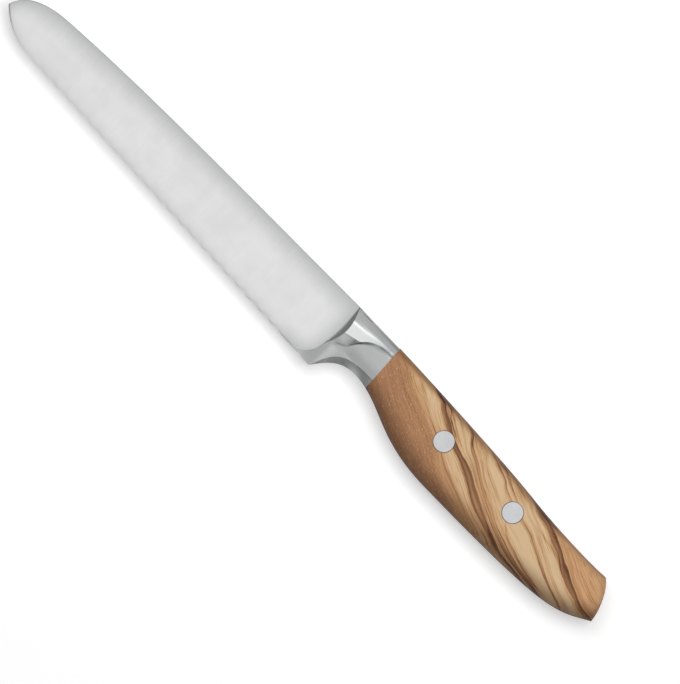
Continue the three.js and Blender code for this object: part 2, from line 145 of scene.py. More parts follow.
# Handle
BACK_POINT = np.array([NECK_LENGTH + 59.4, -2.5])
CORNER = np.array([NECK_LENGTH + 91.8, -3.3])
BEAK = np.array([NECK_LENGTH + 98.2, -15.65])
BELLY = np.array([NECK_LENGTH + 34.6, -23.55])
TAIL = np.array([BEAK[0] - 14.5, -21.6])
BACK_SLOPE = -0.105
CORNER_SLOPE = 0.1
TAIL_SLOPE = 0.18
BEAK_SLOPE = 0.49
CORNER_PULL = (3.1, -2.3)
BEAK_PULL = (-0.6, 4.2)
TANG_HALF = 1.1
SCALE_FLOOR = 1.11
RIM_HALF = 1.6
GRIP_HALF = 9.25
UPPER_SHOULDER = 5.2
LOWER_SHOULDER = 9.2
BUTT_LOWER_SHOULDER = 6.0
SWELL_LENGTH = 26.0
SHOULDER_POWER = 2.2
BUTT_ROUND = 2.6
JOINT_GAP = 0.03
TRACK_STEPS = 240
TANG_ROWS = 44
SWELL_ROWS = 36
GRIP_ROWS = 72
LAND_COLUMNS = 14
SHOULDER_COLUMNS = 18

# Rivets
RIVET_DROP = 9.9
RIVET_PLACES = {"front": NECK_LENGTH + 28.95, "rear": NECK_LENGTH + 58.45}
RIVET_HEAD_DEPTH = 4.0
TUBE_RADIUS = 2.1
PIN_RADIUS = 1.4
BORE_RADIUS = 1.45
RIVET_GRIP = 7.0
RIVET_END_GAP = 0.5
RIVET_SEGMENTS = 72
TUBE_CHAMFER = 0.1
PIN_CHAMFER = 0.2
TANG_HOLE_GAP = 0.1
TANG_CUT = 3.0
SCALE_CUT = 14.0

# A head's crown: steps in from the rim with drops from the top, then shares of the radius with drops
CROWN_RIM = ((0.0, 0.12), (0.02, 0.06), (0.06, 0.03), (0.2, 0.016))
CROWN_FACE = ((0.6, 0.008), (0.3, 0.002), (0.0, 0.0))

# The figure's place on the two scales
FRONT_SCALE = (1.0, -1.0, 1.0)
BACK_SCALE = (0.94, -1.05, 1.0)
BACK_SHIFT = (8.0, 2.5, 0.0)

# Stage
WHITE = (1.0, 1.0, 1.0, 1.0)
FLOOR_HALF = 2.0
FLOOR_DROP = 0.00002
FLOOR_MOTTLE = 0.985
SKY_RISE = (0.02, 0.42)
CAMERA_PLACE = (0.0147, 0.0002)
CAMERA_TURN = 46.0
SENSOR_WIDTH = 36.0
CLIP_END = 10.0

# The row frame's place of the heel, the spine's line and the middle plane
ORIGIN = np.array([CAD_LOW.x + BLADE_LENGTH * MM, CAD_HIGH.y, (CAD_LOW.z + CAD_HIGH.z) / 2])


# Settings

COLOUR = {"size": 3, "min": 0, "max": 1, "subtype": "COLOR"}
SHARE = {"min": 0, "max": 1, "subtype": "FACTOR"}


class BladeSettings(PropertyGroup):
    wave_pitch: FloatProperty(name="Wave Pitch", description="Length of one wave of the edge",
                              default=0.005, min=0.002, unit="LENGTH")
    wave_depth: FloatProperty(name="Wave Depth", description="How far a wave cuts into the edge",
                              default=0.0003, min=0.0, unit="LENGTH")
    bevel_width: FloatProperty(name="Bevel Width", description="Width of the sharpened band along the edge",
                               default=0.0008, min=0.0001, unit="LENGTH")
    colour: FloatVectorProperty(name="Steel", description="Colour of the satin-ground faces",
                                default=(0.57, 0.575, 0.57), **COLOUR)
    # The colour of the painted shade and painted dark reflection on the satin by the spine, the plunge and
    # the edge
    painted_satin_shade: FloatVectorProperty(
        name="Painted Satin Shade", description="Colour of the satin along the spine",
        default=(0.365, 0.37, 0.37), **COLOUR)
    roughness: FloatProperty(name="Roughness", description="Roughness of the satin faces",
                             default=0.36, **SHARE)


class NeckSettings(PropertyGroup):
    fillet: FloatProperty(
        name="Plunge Fillet", description="Widest part of the hollow where the blade meets the neck",
        default=0.00205, min=0.0003, unit="LENGTH")
    groove: FloatProperty(name="Groove", description="Depth of the groove between the bar and the flank",
                          default=1.0, min=0, max=1.5, subtype="FACTOR")
    colour: FloatVectorProperty(name="Steel", description="Colour of the polished neck",
                                default=(0.538, 0.555, 0.553), **COLOUR)
    roughness: FloatProperty(name="Roughness", description="Roughness of the polished neck",
                             default=0.2, **SHARE)


class HandleSettings(PropertyGroup):
    pale: FloatVectorProperty(name="Pale Wood", description="Lightest tone between the streaks",
                              default=(0.7, 0.5, 0.3), **COLOUR)
    tan: FloatVectorProperty(name="Tan Wood", description="Middle tone of the grain",
                             default=(0.565, 0.322, 0.155), **COLOUR)
    brown: FloatVectorProperty(
        name="Brown Wood", description="Tone of the bands and of the wood next to the steel",
        default=(0.315, 0.155, 0.08), **COLOUR)
    # This colour is also the tone that the painted shade on the wood's rims tends to
    dark: FloatVectorProperty(name="Dark Wood", description="Tone of the dark streaks",
                              default=(0.085, 0.035, 0.018), **COLOUR)
    # Strength of the painted shade on the wood's rounded edge towards the belly
    painted_rim_shade: FloatProperty(name="Painted Rim Shade", description="How dark the rounded edges of the wood are",
                            default=0.5, **SHARE)
    roughness: FloatProperty(name="Roughness", description="Roughness of the oiled wood",
                             default=0.56, **SHARE)


class RivetSettings(PropertyGroup):
    head_diameter: FloatProperty(name="Head Diameter", description="Diameter of a rivet's head",
                                 default=0.0065, min=0.005, max=0.008, unit="LENGTH")
    ring_gap: FloatProperty(name="Ring Gap", description="Clearance between a head and the wood",
                            default=0.00012, min=0.00002, unit="LENGTH")
    colour: FloatVectorProperty(name="Steel", description="Colour of the ground rivet heads",
                                default=(0.45, 0.453, 0.463), **COLOUR)
    roughness: FloatProperty(name="Roughness", description="Roughness of the rivet heads",
                             default=0.3, **SHARE)


class StageSettings(PropertyGroup):
    floor_colour: FloatVectorProperty(name="Floor", description="Colour of the floor",
                                      default=(0.6, 0.6, 0.6), **COLOUR)
    floor_glow: FloatProperty(
        name="Floor Glow", description="Brightness that is added to the floor where it is seen",
        default=0.5, min=0, max=1)
    key: FloatProperty(name="Key", description="Brightness of the lamp that casts the shadow",
                       default=9.7, min=0)
    overhead: FloatProperty(
        name="Overhead Card", description="Brightness of the card above that the steel mirrors",
        default=0.72, min=0)
    strip: FloatProperty(
        name="Spine-Side Strip", description="Brightness of the lamp on the side of the spine",
        default=1.6, min=0)
    surround: FloatProperty(name="Surround", description="Brightness of the room above the horizon",
                            default=0.7, min=0)
    fill: FloatProperty(name="Fill", description="Share of the room's brightness that lights dull surfaces",
                        default=0.2, **SHARE)
    horizon: FloatProperty(name="Horizon", description="Brightness of the room at the horizon",
                           default=0.12, min=0)
    camera_height: FloatProperty(name="Camera Height", description="Height of the camera over the knife",
                                 default=4.0, min=0.5, unit="LENGTH")
    field: FloatProperty(name="Field", description="Longer side of the picture at the knife",
                         default=0.2045, min=0.05, unit="LENGTH")


# Lines and surfaces


def bezier(points, t):
    t = np.asarray(t, float)[..., None]
    layers = [np.asarray(p, float) for p in points]
    while len(layers) > 1:
        layers = [a * (1 - t) + b * t for a, b in zip(layers, layers[1:])]
    return layers[0]


def spline(points, t):
    """A smooth curve through points in even steps."""
    p = np.asarray(points, float)
    last = len(p) - 1
    place = np.clip(np.asarray(t, float), 0, 1) * last
    i = np.minimum(place.astype(int), last - 1)
    w = (place - i)[..., None]
    a, b = p[np.maximum(i - 1, 0)], p[i]
    c, d = p[i + 1], p[np.minimum(i + 2, last)]
    u, v = (c - a) / 2, (d - b) / 2
    return (2 * b - 2 * c + u + v) * w**3 + (3 * c - 3 * b - 2 * u - v) * w**2 + u * w + b


def mix(a, b, t):
    return a + (b - a) * t


def smooth_step(x, low, high):
    t = np.clip((x - low) / (high - low), 0, 1)
    return t * t * (3 - 2 * t)


def distance(p, line):
    """Distance of side-view points from a line of points."""
    a, b = line[:-1], line[1:]
    run = b - a
    reach = p[..., None, :] - a
    along = np.clip((reach * run).sum(-1) / np.maximum((run * run).sum(-1), 1e-12), 0, 1)
    return np.sqrt(((reach - along[..., None] * run) ** 2).sum(-1)).min(-1)


class Track:
    """A line of points that is read by its share of length."""

    def __init__(self, *stretches):
        fine = np.linspace(0, 1, TRACK_STEPS)
        self.points = np.vstack([bezier(s, fine) for s in stretches])
        steps = np.hypot(*np.diff(self.points, axis=0).T)
        self.reach = np.concatenate([[0.0], np.cumsum(steps)])
        self.length = self.reach[-1]

    def at(self, share):
        place = np.asarray(share) * self.length
        return np.stack([np.interp(place, self.reach, self.points[:, k]) for k in (0, 1)], -1)


def eased(start, start_slope, end, end_slope, ease):
    """Control points of a curve that leaves and arrives at given slopes."""
    run = end[0] - start[0]
    leave, arrive = run * ease[0], run * ease[1]
    return [start, start + (leave, leave * start_slope), end - (arrive, arrive * end_slope), end]


def shoulder(reach):
    """Height of a rounded edge, from 1 at its land to 0 at its rim."""
    e = np.clip(reach, 0, 1)
    return (1 - e**SHOULDER_POWER) ** (1 / SHOULDER_POWER)


class BladeShape:
    """Spine, wavy edge and half thickness of the blade."""

    def __init__(self, settings):
        self.pitch = settings.wave_pitch / MM
        self.depth = settings.wave_depth / MM
        self.bevel = settings.bevel_width / MM
        fine = np.linspace(0, 1, SPINE_STEPS)
        nose = [TIP, TIP + NOSE_TIP_PULL, NOSE - (NOSE_PULL, NOSE_PULL * NOSE_SLOPE), NOSE]
        back = [NOSE, NOSE + (SPINE_NOSE_PULL, SPINE_NOSE_PULL * NOSE_SLOPE),
                PLUNGE_TOP + SPINE_HEEL_PULL, PLUNGE_TOP]
        self.spine = np.vstack([bezier(nose, fine), bezier(back, fine)[1:]])
        slope = np.gradient(self.spine[:, 1], self.spine[:, 0] + np.arange(len(self.spine)) * 1e-9)
        self.lean = 1 / np.hypot(1, slope)
        self.edge_slope = (EDGE_START[1] - HEEL[1]) / EDGE_START[0]
        third = (EDGE_START[0] - TIP[0]) / 3
        self.tip_edge = [TIP, TIP + (third, -third * TIP_EDGE_SLOPE),
                         EDGE_START - (third, third * self.edge_slope), EDGE_START]
        self.first_wave = TIP[0] + WAVE_TIP_MARGIN
        waves = math.floor((-WAVE_HEEL_MARGIN - self.first_wave) / self.pitch)
        self.last_wave = self.first_wave + waves * self.pitch
        plane = np.array([[0, 0, 1], [*NOSE, 1], [*EDGE_START, 1]])
        self.taper = np.linalg.solve(plane, [SPINE_HALF, NOSE_HALF, EDGE_PLANE_HALF])
        self.foot = np.array([-FOOT_LENGTH, self.plain_edge(-FOOT_LENGTH)])

    def spine_y(self, x):
        return np.interp(x, self.spine[:, 0], self.spine[:, 1])

    def plain_edge(self, x):
        x = np.asarray(x, float)
        share = np.clip((x - TIP[0]) / (EDGE_START[0] - TIP[0]), 0, 1)
        straight = HEEL[1] + self.edge_slope * x
        return np.where(x > EDGE_START[0], straight, bezier(self.tip_edge, share)[..., 1])

    def gullet(self, x):
        """Share of the wave's depth at a place along the edge."""
        inside = (x > self.first_wave) & (x < self.last_wave)
        wave = (1 - np.cos(2 * np.pi * (x - self.first_wave) / self.pitch)) / 2
        return np.where(inside, wave, 0.0)

    def edge_y(self, x):
        return self.plain_edge(x) + self.depth * self.gullet(x)

    def plane_half(self, x, y):
        return self.taper[0] * x + self.taper[1] * y + self.taper[2]

    def half(self, x, y):
        """Half thickness with a crowned, rounded spine and a sharpened edge."""
        lean = np.interp(x, self.spine[:, 0], self.lean)
        from_spine = np.maximum(self.spine_y(x) - y, 0) * lean
        half = self.plane_half(x, y)
        half = half - CROWN_DROP * np.clip(1 - from_spine / CROWN_WIDTH, 0, 1) ** 2
        radius = np.minimum(SPINE_ROUND, half * SPINE_ROUND_SHARE)
        near = np.clip(1 - from_spine / radius, 0, 1)
        half = half - radius * (1 - np.sqrt(1 - near**2))
        width = self.bevel * BEVEL_SHARE * (1 + self.gullet(x))
        near = np.clip(1 - (y - self.edge_y(x)) / width, 0, 1)
        return np.maximum(mix(half, EDGE_HALF, near), EDGE_HALF)


HANDLE_TOP = Track(
    eased(np.array([NECK_LENGTH, 0.0]), 0.0, BACK_POINT, BACK_SLOPE, ease=(0.1, 0.22)),
    eased(BACK_POINT, BACK_SLOPE, CORNER, CORNER_SLOPE, ease=(0.31, 0.19)),
)
JOINT_BOTTOM = np.array([NECK_LENGTH + JOINT_LEAN, -NECK_DEPTH])
HANDLE_BOTTOM = Track(
    eased(JOINT_BOTTOM, NOTCH_JOINT_PULL[1] / NOTCH_JOINT_PULL[0], BELLY, 0.0, ease=(0.26, 0.54)),
    eased(BELLY, 0.0, TAIL, TAIL_SLOPE, ease=(0.36, 0.2)),
    eased(TAIL, TAIL_SLOPE, BEAK, BEAK_SLOPE, ease=(0.59, 0.24)),
)
BUTT = [CORNER, CORNER + CORNER_PULL, BEAK + BEAK_PULL, BEAK]


def handle_points(share, across):
    """Points of the handle's side view at shares from joint to butt and from top to bottom."""
    top, bottom = HANDLE_TOP.at(share), HANDLE_BOTTOM.at(share)
    bulge = bezier(BUTT, across) - mix(CORNER, BEAK, np.asarray(across)[..., None])
    return mix(top, bottom, np.asarray(across)[..., None]) + bulge * (share**4)[..., None]


def joint_point(drop):
    return np.array([NECK_LENGTH + JOINT_LEAN * drop / NECK_DEPTH, -drop])


class NeckShape:
    """Sheet of points over the neck, from the plunge line to the wood. Columns run from the spine down."""

    BAR_COLUMNS = np.array([0.0, 0.006, 0.016, 0.032, 0.06, 0.1, 0.15, 0.2, 0.25, 0.3, 0.35, 0.4, 0.45, 0.5,
                            0.55, 0.62, 0.7, 0.8, 0.9, 1.0])
    SLOPE_COLUMNS = np.array([0.06, 0.25, 0.5, 0.75, 0.94, 1.0])
    SIDE_COLUMNS = np.array([0.012, 0.026, 0.042, 0.06, 0.08, 0.105, 0.135, 0.17, 0.22, 0.3, 0.4, 0.5, 0.6,
                             0.7, 0.8, 0.87, 0.92, 0.955, 0.98, 1.0])
    RIM_COLUMNS = np.array([0.03, 0.1, 0.22, 0.35, 0.48, 0.6, 0.71, 0.8, 0.88, 0.94, 0.98, 1.0])

    def __init__(self, blade, settings):
        self.blade = blade
        self.fillet = settings.fillet / MM
        self.groove = settings.groove
        self.ridge = self.along_neck(RIDGE_DROPS)
        self.valley = self.along_neck(VALLEY_DROPS)
        self.notch = [HEEL, HEEL + NOTCH_HEEL_PULL, JOINT_BOTTOM + NOTCH_JOINT_PULL, JOINT_BOTTOM]
        rim_end = joint_point(RIM_DROP)
        self.rim = [HEEL, HEEL + RIM_HEEL_PULL, rim_end + RIM_JOINT_PULL, rim_end]
        self.lower = [PLUNGE_FACE, PLUNGE_FACE + PLUNGE_PULL, blade.foot + FOOT_PULL, blade.foot]
        self.upper = [PLUNGE_TOP, np.array([PLUNGE_FACE[0], PLUNGE_FACE[1] / 2]), PLUNGE_FACE]
        self.bar = self.softened(BAR_DROPS, BAR_HALVES)
        self.collar = self.softened(COLLAR_DROPS, COLLAR_HALVES)
        fine = np.linspace(0, 1, PLUNGE_STEPS)
        self.plunge = np.vstack([bezier(self.upper, fine), bezier(self.lower, fine)[1:]])
        count = [len(c) for c in (self.BAR_COLUMNS, self.SLOPE_COLUMNS, self.SIDE_COLUMNS, self.RIM_COLUMNS)]
        self.ends = np.cumsum(count)
        self.columns = self.ends[-1]
        self.start = self.places(np.zeros((1, self.columns)))[0]
        self.start_half = blade.half(self.start[:, 0], self.start[:, 1])
        self.start_half[self.ends[2]:] = self.start_half[self.ends[2] - 1]
        swing = np.clip((FILLET_ABOVE - self.start[:, 1]) / (FILLET_BELOW - PLUNGE_FACE[1]), 0, 1)
        width = np.maximum(self.fillet * np.sin(np.pi * swing), FILLET_LEAST)
        fade = np.zeros(self.columns)
        fade[: self.ends[1]] = 1
        fade[self.ends[1]: self.ends[2]] = (1 - self.SIDE_COLUMNS) ** 2
        self.fillet_share = width * fade / (NECK_LENGTH - PLUNGE_FACE[0])

    def along_neck(self, drops):
        """Side-view points in even steps from the plunge to the wood, at given drops below the spine."""
        shares = np.arange(len(drops)) / (len(drops) - 1)
        ends = [joint_point(drop) for drop in drops]
        return [(mix(PLUNGE_FACE[0], end[0], share), end[1]) for share, end in zip(shares, ends)]

    def softened(self, drops, halves):
        """A section through given points, with its corners rounded off."""
        fine = np.linspace(0, SECTION_DEPTH, round(SECTION_DEPTH / SECTION_STEP) + 1)
        kernel = np.ones(int(BAR_BLUR / SECTION_STEP) | 1)
        padded = np.pad(np.interp(fine, drops, halves), len(kernel) // 2, mode="reflect", reflect_type="odd")
        return fine, np.convolve(padded, kernel / kernel.sum(), "valid")

    def foot_line(self, s):
        """Line from the foot of the plunge to the heel and on along the rim above the notch."""
        early = mix(self.blade.foot, HEEL, (s / HEEL_SHARE)[..., None])
        late = bezier(self.rim, np.clip((s - HEEL_SHARE) / (1 - HEEL_SHARE), 0, 1))
        return np.where((s < HEEL_SHARE)[..., None], early, late)

    def places(self, s):
        """Side-view points for an array of shares with one column each."""
        a, b, c, d = self.ends
        p = np.zeros((*s.shape, 2))
        one, two, three, four = s[:, :a], s[:, a:b], s[:, b:c], s[:, c:d]
        top = mix(PLUNGE_TOP, np.array([NECK_LENGTH, 0.0]), one[..., None])
        crest = spline(self.ridge, one)
        across = self.BAR_COLUMNS * np.ones_like(one)
        near = slice(len(CREASE_DROPS))
        settled = smooth_step(one[:, near], 0, CREASE_SHARE)
        across[:, near] = mix(across[:, near], CREASE_DROPS / -crest[:, near, 1], settled)
        p[:, :a] = mix(top, crest, across[..., None])
        p[:, a:b] = mix(spline(self.ridge, two), spline(self.valley, two), self.SLOPE_COLUMNS[:, None])
        bow = bezier(self.upper, -p[:, :b, 1] / -PLUNGE_FACE[1])[..., 0]
        chord = mix(PLUNGE_TOP[0], PLUNGE_FACE[0], np.clip(p[:, :b, 1] / PLUNGE_FACE[1], 0, 1))
        p[:, :b, 0] += (bow - chord) * (1 - s[:, :b]) ** 4
        bend = np.clip(1 - three / HEEL_SHARE, 0, 1) ** 2
        down = self.SIDE_COLUMNS[:, None]
        bulge = bezier(self.lower, self.SIDE_COLUMNS) - mix(PLUNGE_FACE, self.blade.foot, down)
        side = mix(spline(self.valley, three), self.foot_line(three), down)
        p[:, b:c] = side + bulge * bend[..., None]
        along = np.clip((four - HEEL_SHARE) / (1 - HEEL_SHARE), 0, 1)
        under = mix(self.foot_line(four), bezier(self.notch, along), self.RIM_COLUMNS[:, None])
        p[:, c:d] = np.where((four < HEEL_SHARE)[..., None], self.foot_line(four), under)
        return p

    def bar_half(self, drop, s):
        return mix(np.interp(drop, *self.bar), np.interp(drop, *self.collar), s**BAR_POWER)

    def from_plunge(self, p):
        """Distance to the line where the blade meets the neck."""
        return distance(p, self.plunge)

    def side_half(self, p):
        """Half thickness of the flank and leg, which rise evenly from the plunge line to the wood."""
        drop = -p[..., 1]
        far = np.maximum(NECK_LENGTH + JOINT_LEAN * drop / NECK_DEPTH - p[..., 0], 0)
        below = np.clip((drop + PLUNGE_FACE[1]) / (PLUNGE_FACE[1] - self.blade.foot[1]), 0, 1)
        near = self.from_plunge(p) * mix(1, LEG_LIFT, below)
        root = np.maximum(self.blade.plane_half(p[..., 0], -drop), EDGE_HALF) + FOOT_STEP * (1 - below) ** 3
        return mix(root, NECK_HALF, near / (near + far))

    def groove_depth(self, s):
        return self.groove * np.interp(s, GROOVE_SHARES, GROOVE_DEPTHS)

    def halves(self, p, s):
        """Half thickness at the side-view points of all columns."""
        a, b, c, d = self.ends
        half = np.zeros(s.shape)
        half[:, :a] = self.bar_half(-p[:, :a, 1], s[:, :a])
        two = s[:, a:b]
        crest = self.bar_half(-spline(self.ridge, two)[..., 1], two)
        bottom = self.side_half(spline(self.valley, two)) - self.groove_depth(two)
        half[:, a:b] = mix(crest, bottom, self.SLOPE_COLUMNS)
        three, four = s[:, b:c], s[:, c:d]
        width = np.linalg.norm(self.foot_line(three) - spline(self.valley, three), axis=-1)
        near = np.clip(1 - self.SIDE_COLUMNS * width / GROOVE_WIDTH, 0, 1)
        half[:, b:c] = self.side_half(p[:, b:c]) - self.groove_depth(three) * near**GROOVE_POWER
        foot_half = self.side_half(self.foot_line(four))
        along = np.clip((four - HEEL_SHARE) / (1 - HEEL_SHARE), 0, 1)
        edge_half = mix(HEEL_EDGE_HALF, RIM_HALF, along**2)
        width = np.linalg.norm(bezier(self.notch, along) - self.foot_line(four), axis=-1)
        chamfer = foot_half - np.interp(along, RIM_SHARES, RIM_SLOPES) * width * self.RIM_COLUMNS
        under = np.where(self.RIM_COLUMNS < 1, np.maximum(chamfer, edge_half), edge_half)
        half[:, c:d] = np.where(four < HEEL_SHARE, foot_half, under)
        return half

    def sheet(self):
        """Rows of points from the plunge line to the wood."""
        c = self.ends[2]
        turn = np.linspace(0, 1, FILLET_ROWS + 1)[1:, None]
        early = self.fillet_share * turn
        by_leg, by_notch = np.linspace(0, HEEL_SHARE, LEG_ROWS), np.linspace(HEEL_SHARE, 1, NECK_ROWS)
        shares = np.concatenate([by_leg[1:], by_notch[1:]])[:, None]
        late = self.fillet_share + (1 - self.fillet_share) * shares
        s = np.vstack([early, late])
        p = self.places(s)
        half = self.halves(p, s)
        rise = np.vstack([turn**FILLET_POWER, np.ones_like(shares)])
        half[:, :c] = mix(self.start_half[:c], half[:, :c], rise)
        return np.concatenate([p, half[..., None]], -1)


def blade_sheet(blade, neck):
    """Rows of points from the tip to the plunge line, in the neck's columns."""
    near_tip = TIP_SHARE * np.linspace(0, 1, TIP_ROWS) ** TIP_CROWDING
    along = np.concatenate([near_tip, np.linspace(TIP_SHARE, 1, BLADE_ROWS)[1:]])
    spine_x = mix(TIP[0], PLUNGE_TOP[0], along)
    edge_x = mix(TIP[0], blade.foot[0], along)
    spine = np.stack([spine_x, blade.spine_y(spine_x)], -1)[:, None]
    edge = np.stack([edge_x, blade.edge_y(edge_x)], -1)[:, None]
    down = (neck.start[:, 1] / blade.foot[1])[:, None]
    bulge = neck.start - mix(PLUNGE_TOP, blade.foot, down)
    p = mix(spine, edge, down) + bulge * (along**5)[:, None, None]
    half = blade.half(p[..., 0], p[..., 1])
    half[:, neck.ends[2]:] = half[:, neck.ends[2] - 1, None]
    return np.concatenate([p, half[..., None]], -1)


def tang_sheet(neck_end):
    """Rows of the tang from the face that the wood meets to the butt, in the neck's columns."""
    across = -neck_end[:, 1] / NECK_DEPTH
    share = np.linspace(0, 1, TANG_ROWS)[:, None] * np.ones_like(across)
    p = handle_points(share, across * np.ones_like(share))
    return np.concatenate([p, np.full((*share.shape, 1), TANG_HALF)], -1)


def scale_sheet():
    """Rows over the outside of a scale from the joint to the butt, and from its upper to its lower rim."""
    swell_share = SWELL_LENGTH / HANDLE_TOP.length
    butt_share = 1 - BUTT_ROUND / HANDLE_TOP.length
    quarter = np.radians(np.linspace(0, 90, SHOULDER_COLUMNS))
    s = np.concatenate([
        np.linspace(0, swell_share, SWELL_ROWS)[:-1],
        np.linspace(swell_share, butt_share, GRIP_ROWS)[:-1],
        mix(butt_share, 1, np.sin(quarter[::2])),
    ])[:, None]
    upper_reach = np.cos(quarter)
    lower_reach = np.sin(quarter)
    land = np.linspace(0, 1, LAND_COLUMNS)[1:-1]
    top, bottom = HANDLE_TOP.at(s[:, 0]), HANDLE_BOTTOM.at(s[:, 0])
    height = np.hypot(*(top - bottom).T)[:, None]
    swell = smooth_step(s, 0, swell_share)
    half = mix(NECK_HALF, GRIP_HALF, swell)
    grip_lower = mix(LOWER_SHOULDER, BUTT_LOWER_SHOULDER, smooth_step(s, swell_share, 1))
    upper = mix(NECK_UPPER_SHOULDER, UPPER_SHOULDER, swell) / height
    lower = mix(NECK_LOWER_SHOULDER, grip_lower, swell) / height
    turn = np.clip((s - butt_share) / (1 - butt_share), 0, 1)
    butt = BUTT_ROUND * (1 - np.sqrt(1 - turn**2)) / (half - RIM_HALF)
    across = np.hstack([
        upper * (1 - upper_reach),
        mix(upper, 1 - lower, land),
        1 - lower * (1 - lower_reach),
    ])
    flat = np.zeros_like(land)
    crown = shoulder(np.concatenate([upper_reach, flat, lower_reach])) * (1 - butt)
    p = handle_points(s * np.ones_like(across), across)
    p[..., 0] += JOINT_GAP * (1 - s)
    return np.concatenate([p, mix(RIM_HALF, half, crown)[..., None]], -1)


# Meshes

# Least distance between points and least length of edges, in metres
MERGE_DISTANCE = 2e-7
SLIVER_LENGTH = 1e-8


def to_row(points):
    return np.asarray(points, float) * MM + ORIGIN


def new_piece(name, points, faces, materials, face_slots=None, sharp_angle=30):
    """A clean smooth-shaded object from points in millimetres."""
    mesh = bpy.data.meshes.new(name)
    mesh.from_pydata([tuple(p) for p in to_row(points)], [], faces)
    for material in materials:
        mesh.materials.append(material)
    if face_slots is not None:
        mesh.polygons.foreach_set("material_index", np.asarray(face_slots, np.int32))
    work = bmesh.new()
    work.from_mesh(mesh)
    bmesh.ops.remove_doubles(work, verts=work.verts, dist=MERGE_DISTANCE)
    bmesh.ops.dissolve_degenerate(work, edges=work.edges, dist=SLIVER_LENGTH)
    bmesh.ops.recalc_face_normals(work, faces=work.faces)
    work.to_mesh(mesh)
    work.free()
    mesh.validate()
    smooth(mesh, sharp_angle)
    piece = bpy.data.objects.new(name, mesh)
    bpy.context.scene.collection.objects.link(piece)
    return piece


def smooth(mesh, sharp_angle):
    mesh.polygons.foreach_set("use_smooth", np.ones(len(mesh.polygons), bool))
    mesh.set_sharp_from_angle(angle=math.radians(sharp_angle))
    mesh.update()


def closed_sheets(upper, lower, row_slots=None):
    """Points, faces and material places of the body between two matching sheets."""
    rows, columns = upper.shape[:2]
    points = np.concatenate([upper.reshape(-1, 3), lower.reshape(-1, 3)])
    faces, slots = [], []

    def top(r, c):
        return r * columns + c

    def bottom(r, c):
        return (rows + r) * columns + c

    def quad(r, *corners):
        faces.append(corners)
        slots.append(0 if row_slots is None else row_slots[r])

    for r in range(rows - 1):
        for c in range(columns - 1):
            quad(r, top(r, c), top(r, c + 1), top(r + 1, c + 1), top(r + 1, c))
            quad(r, bottom(r, c), bottom(r + 1, c), bottom(r + 1, c + 1), bottom(r, c + 1))
        last = columns - 1
        quad(r, top(r, 0), top(r + 1, 0), bottom(r + 1, 0), bottom(r, 0))
        quad(r, top(r + 1, last), top(r, last), bottom(r, last), bottom(r + 1, last))
    for c in range(columns - 1):
        end = rows - 1
        quad(0, top(0, c + 1), top(0, c), bottom(0, c), bottom(0, c + 1))
        quad(end - 1, top(end, c), top(end, c + 1), bottom(end, c + 1), bottom(end, c))
    return points, faces, slots


def turned(profile, centre, flip=False):
    """Points and faces of a body turned about an axis along Z, from radii and heights in millimetres."""
    angles = np.linspace(0, 2 * np.pi, RIVET_SEGMENTS, endpoint=False)
    rings, faces, points = [], [], []
    for radius, height in profile:
        z = -height if flip else height
        if radius == 0:
            rings.append([len(points)] * RIVET_SEGMENTS)
            points.append((centre[0], centre[1], z))
        else:
            first = len(points)
            rings.append(list(range(first, first + RIVET_SEGMENTS)))
            x, y = centre[0] + radius * np.cos(angles), centre[1] + radius * np.sin(angles)
            points.extend((*spot, z) for spot in zip(x, y))
    for below, above in zip(rings, rings[1:]):
        for i in range(RIVET_SEGMENTS):
            k = (i + 1) % RIVET_SEGMENTS
            corners = list(dict.fromkeys((below[i], below[k], above[k], above[i])))
            if len(corners) > 2:
                faces.append(corners)
    return points, faces


def cut(piece, cutters, sharp_angle=30):
    """Takes the cutters' bodies out of a piece and removes them."""
    for cutter in cutters:
        tool = piece.modifiers.new("Cut", "BOOLEAN")
        tool.operation = "DIFFERENCE"
        tool.solver = "EXACT"
        tool.object = cutter
    bpy.context.view_layer.update()
    depsgraph = bpy.context.evaluated_depsgraph_get()
    mesh = bpy.data.meshes.new_from_object(piece.evaluated_get(depsgraph))
    piece.modifiers.clear()
    old = piece.data
    piece.data = mesh
    mesh.name = old.name
    bpy.data.meshes.remove(old)
    for cutter in cutters:
        data = cutter.data
        bpy.data.objects.remove(cutter)
        bpy.data.meshes.remove(data)
    smooth(mesh, sharp_angle)


def mark(piece, measures):
    """Keep each point's measures, taken in the side view, as attributes that the materials read."""
    mesh = piece.data
    co = np.zeros(len(mesh.vertices) * 3)
    mesh.vertices.foreach_get("co", co)
    local = ((co.reshape(-1, 3) - ORIGIN) / MM)[:, :2]
    for name, measure in measures.items():
        attribute = mesh.attributes.new(name, "FLOAT", "POINT")
        attribute.data.foreach_set("value", measure(local).astype(np.float32))


def rivet_centre(place):
    return np.array([RIVET_PLACES[place], -RIVET_DROP])


# Shader nodes


class Value:
    """A node's output that can be added, multiplied and so on."""

    def __init__(self, graph, socket):
        self.graph = graph
        self.socket = socket

    def __add__(self, other):
        return self.graph.math("ADD", self, other)

    def __sub__(self, other):
        return self.graph.math("SUBTRACT", self, other)

    def __rsub__(self, other):
        return self.graph.math("SUBTRACT", other, self)

    def __mul__(self, other):
        return self.graph.math("MULTIPLY", self, other)

    def __pow__(self, other):
        return self.graph.math("POWER", self, other)

    def __abs__(self):
        return self.graph.math("ABSOLUTE", self)


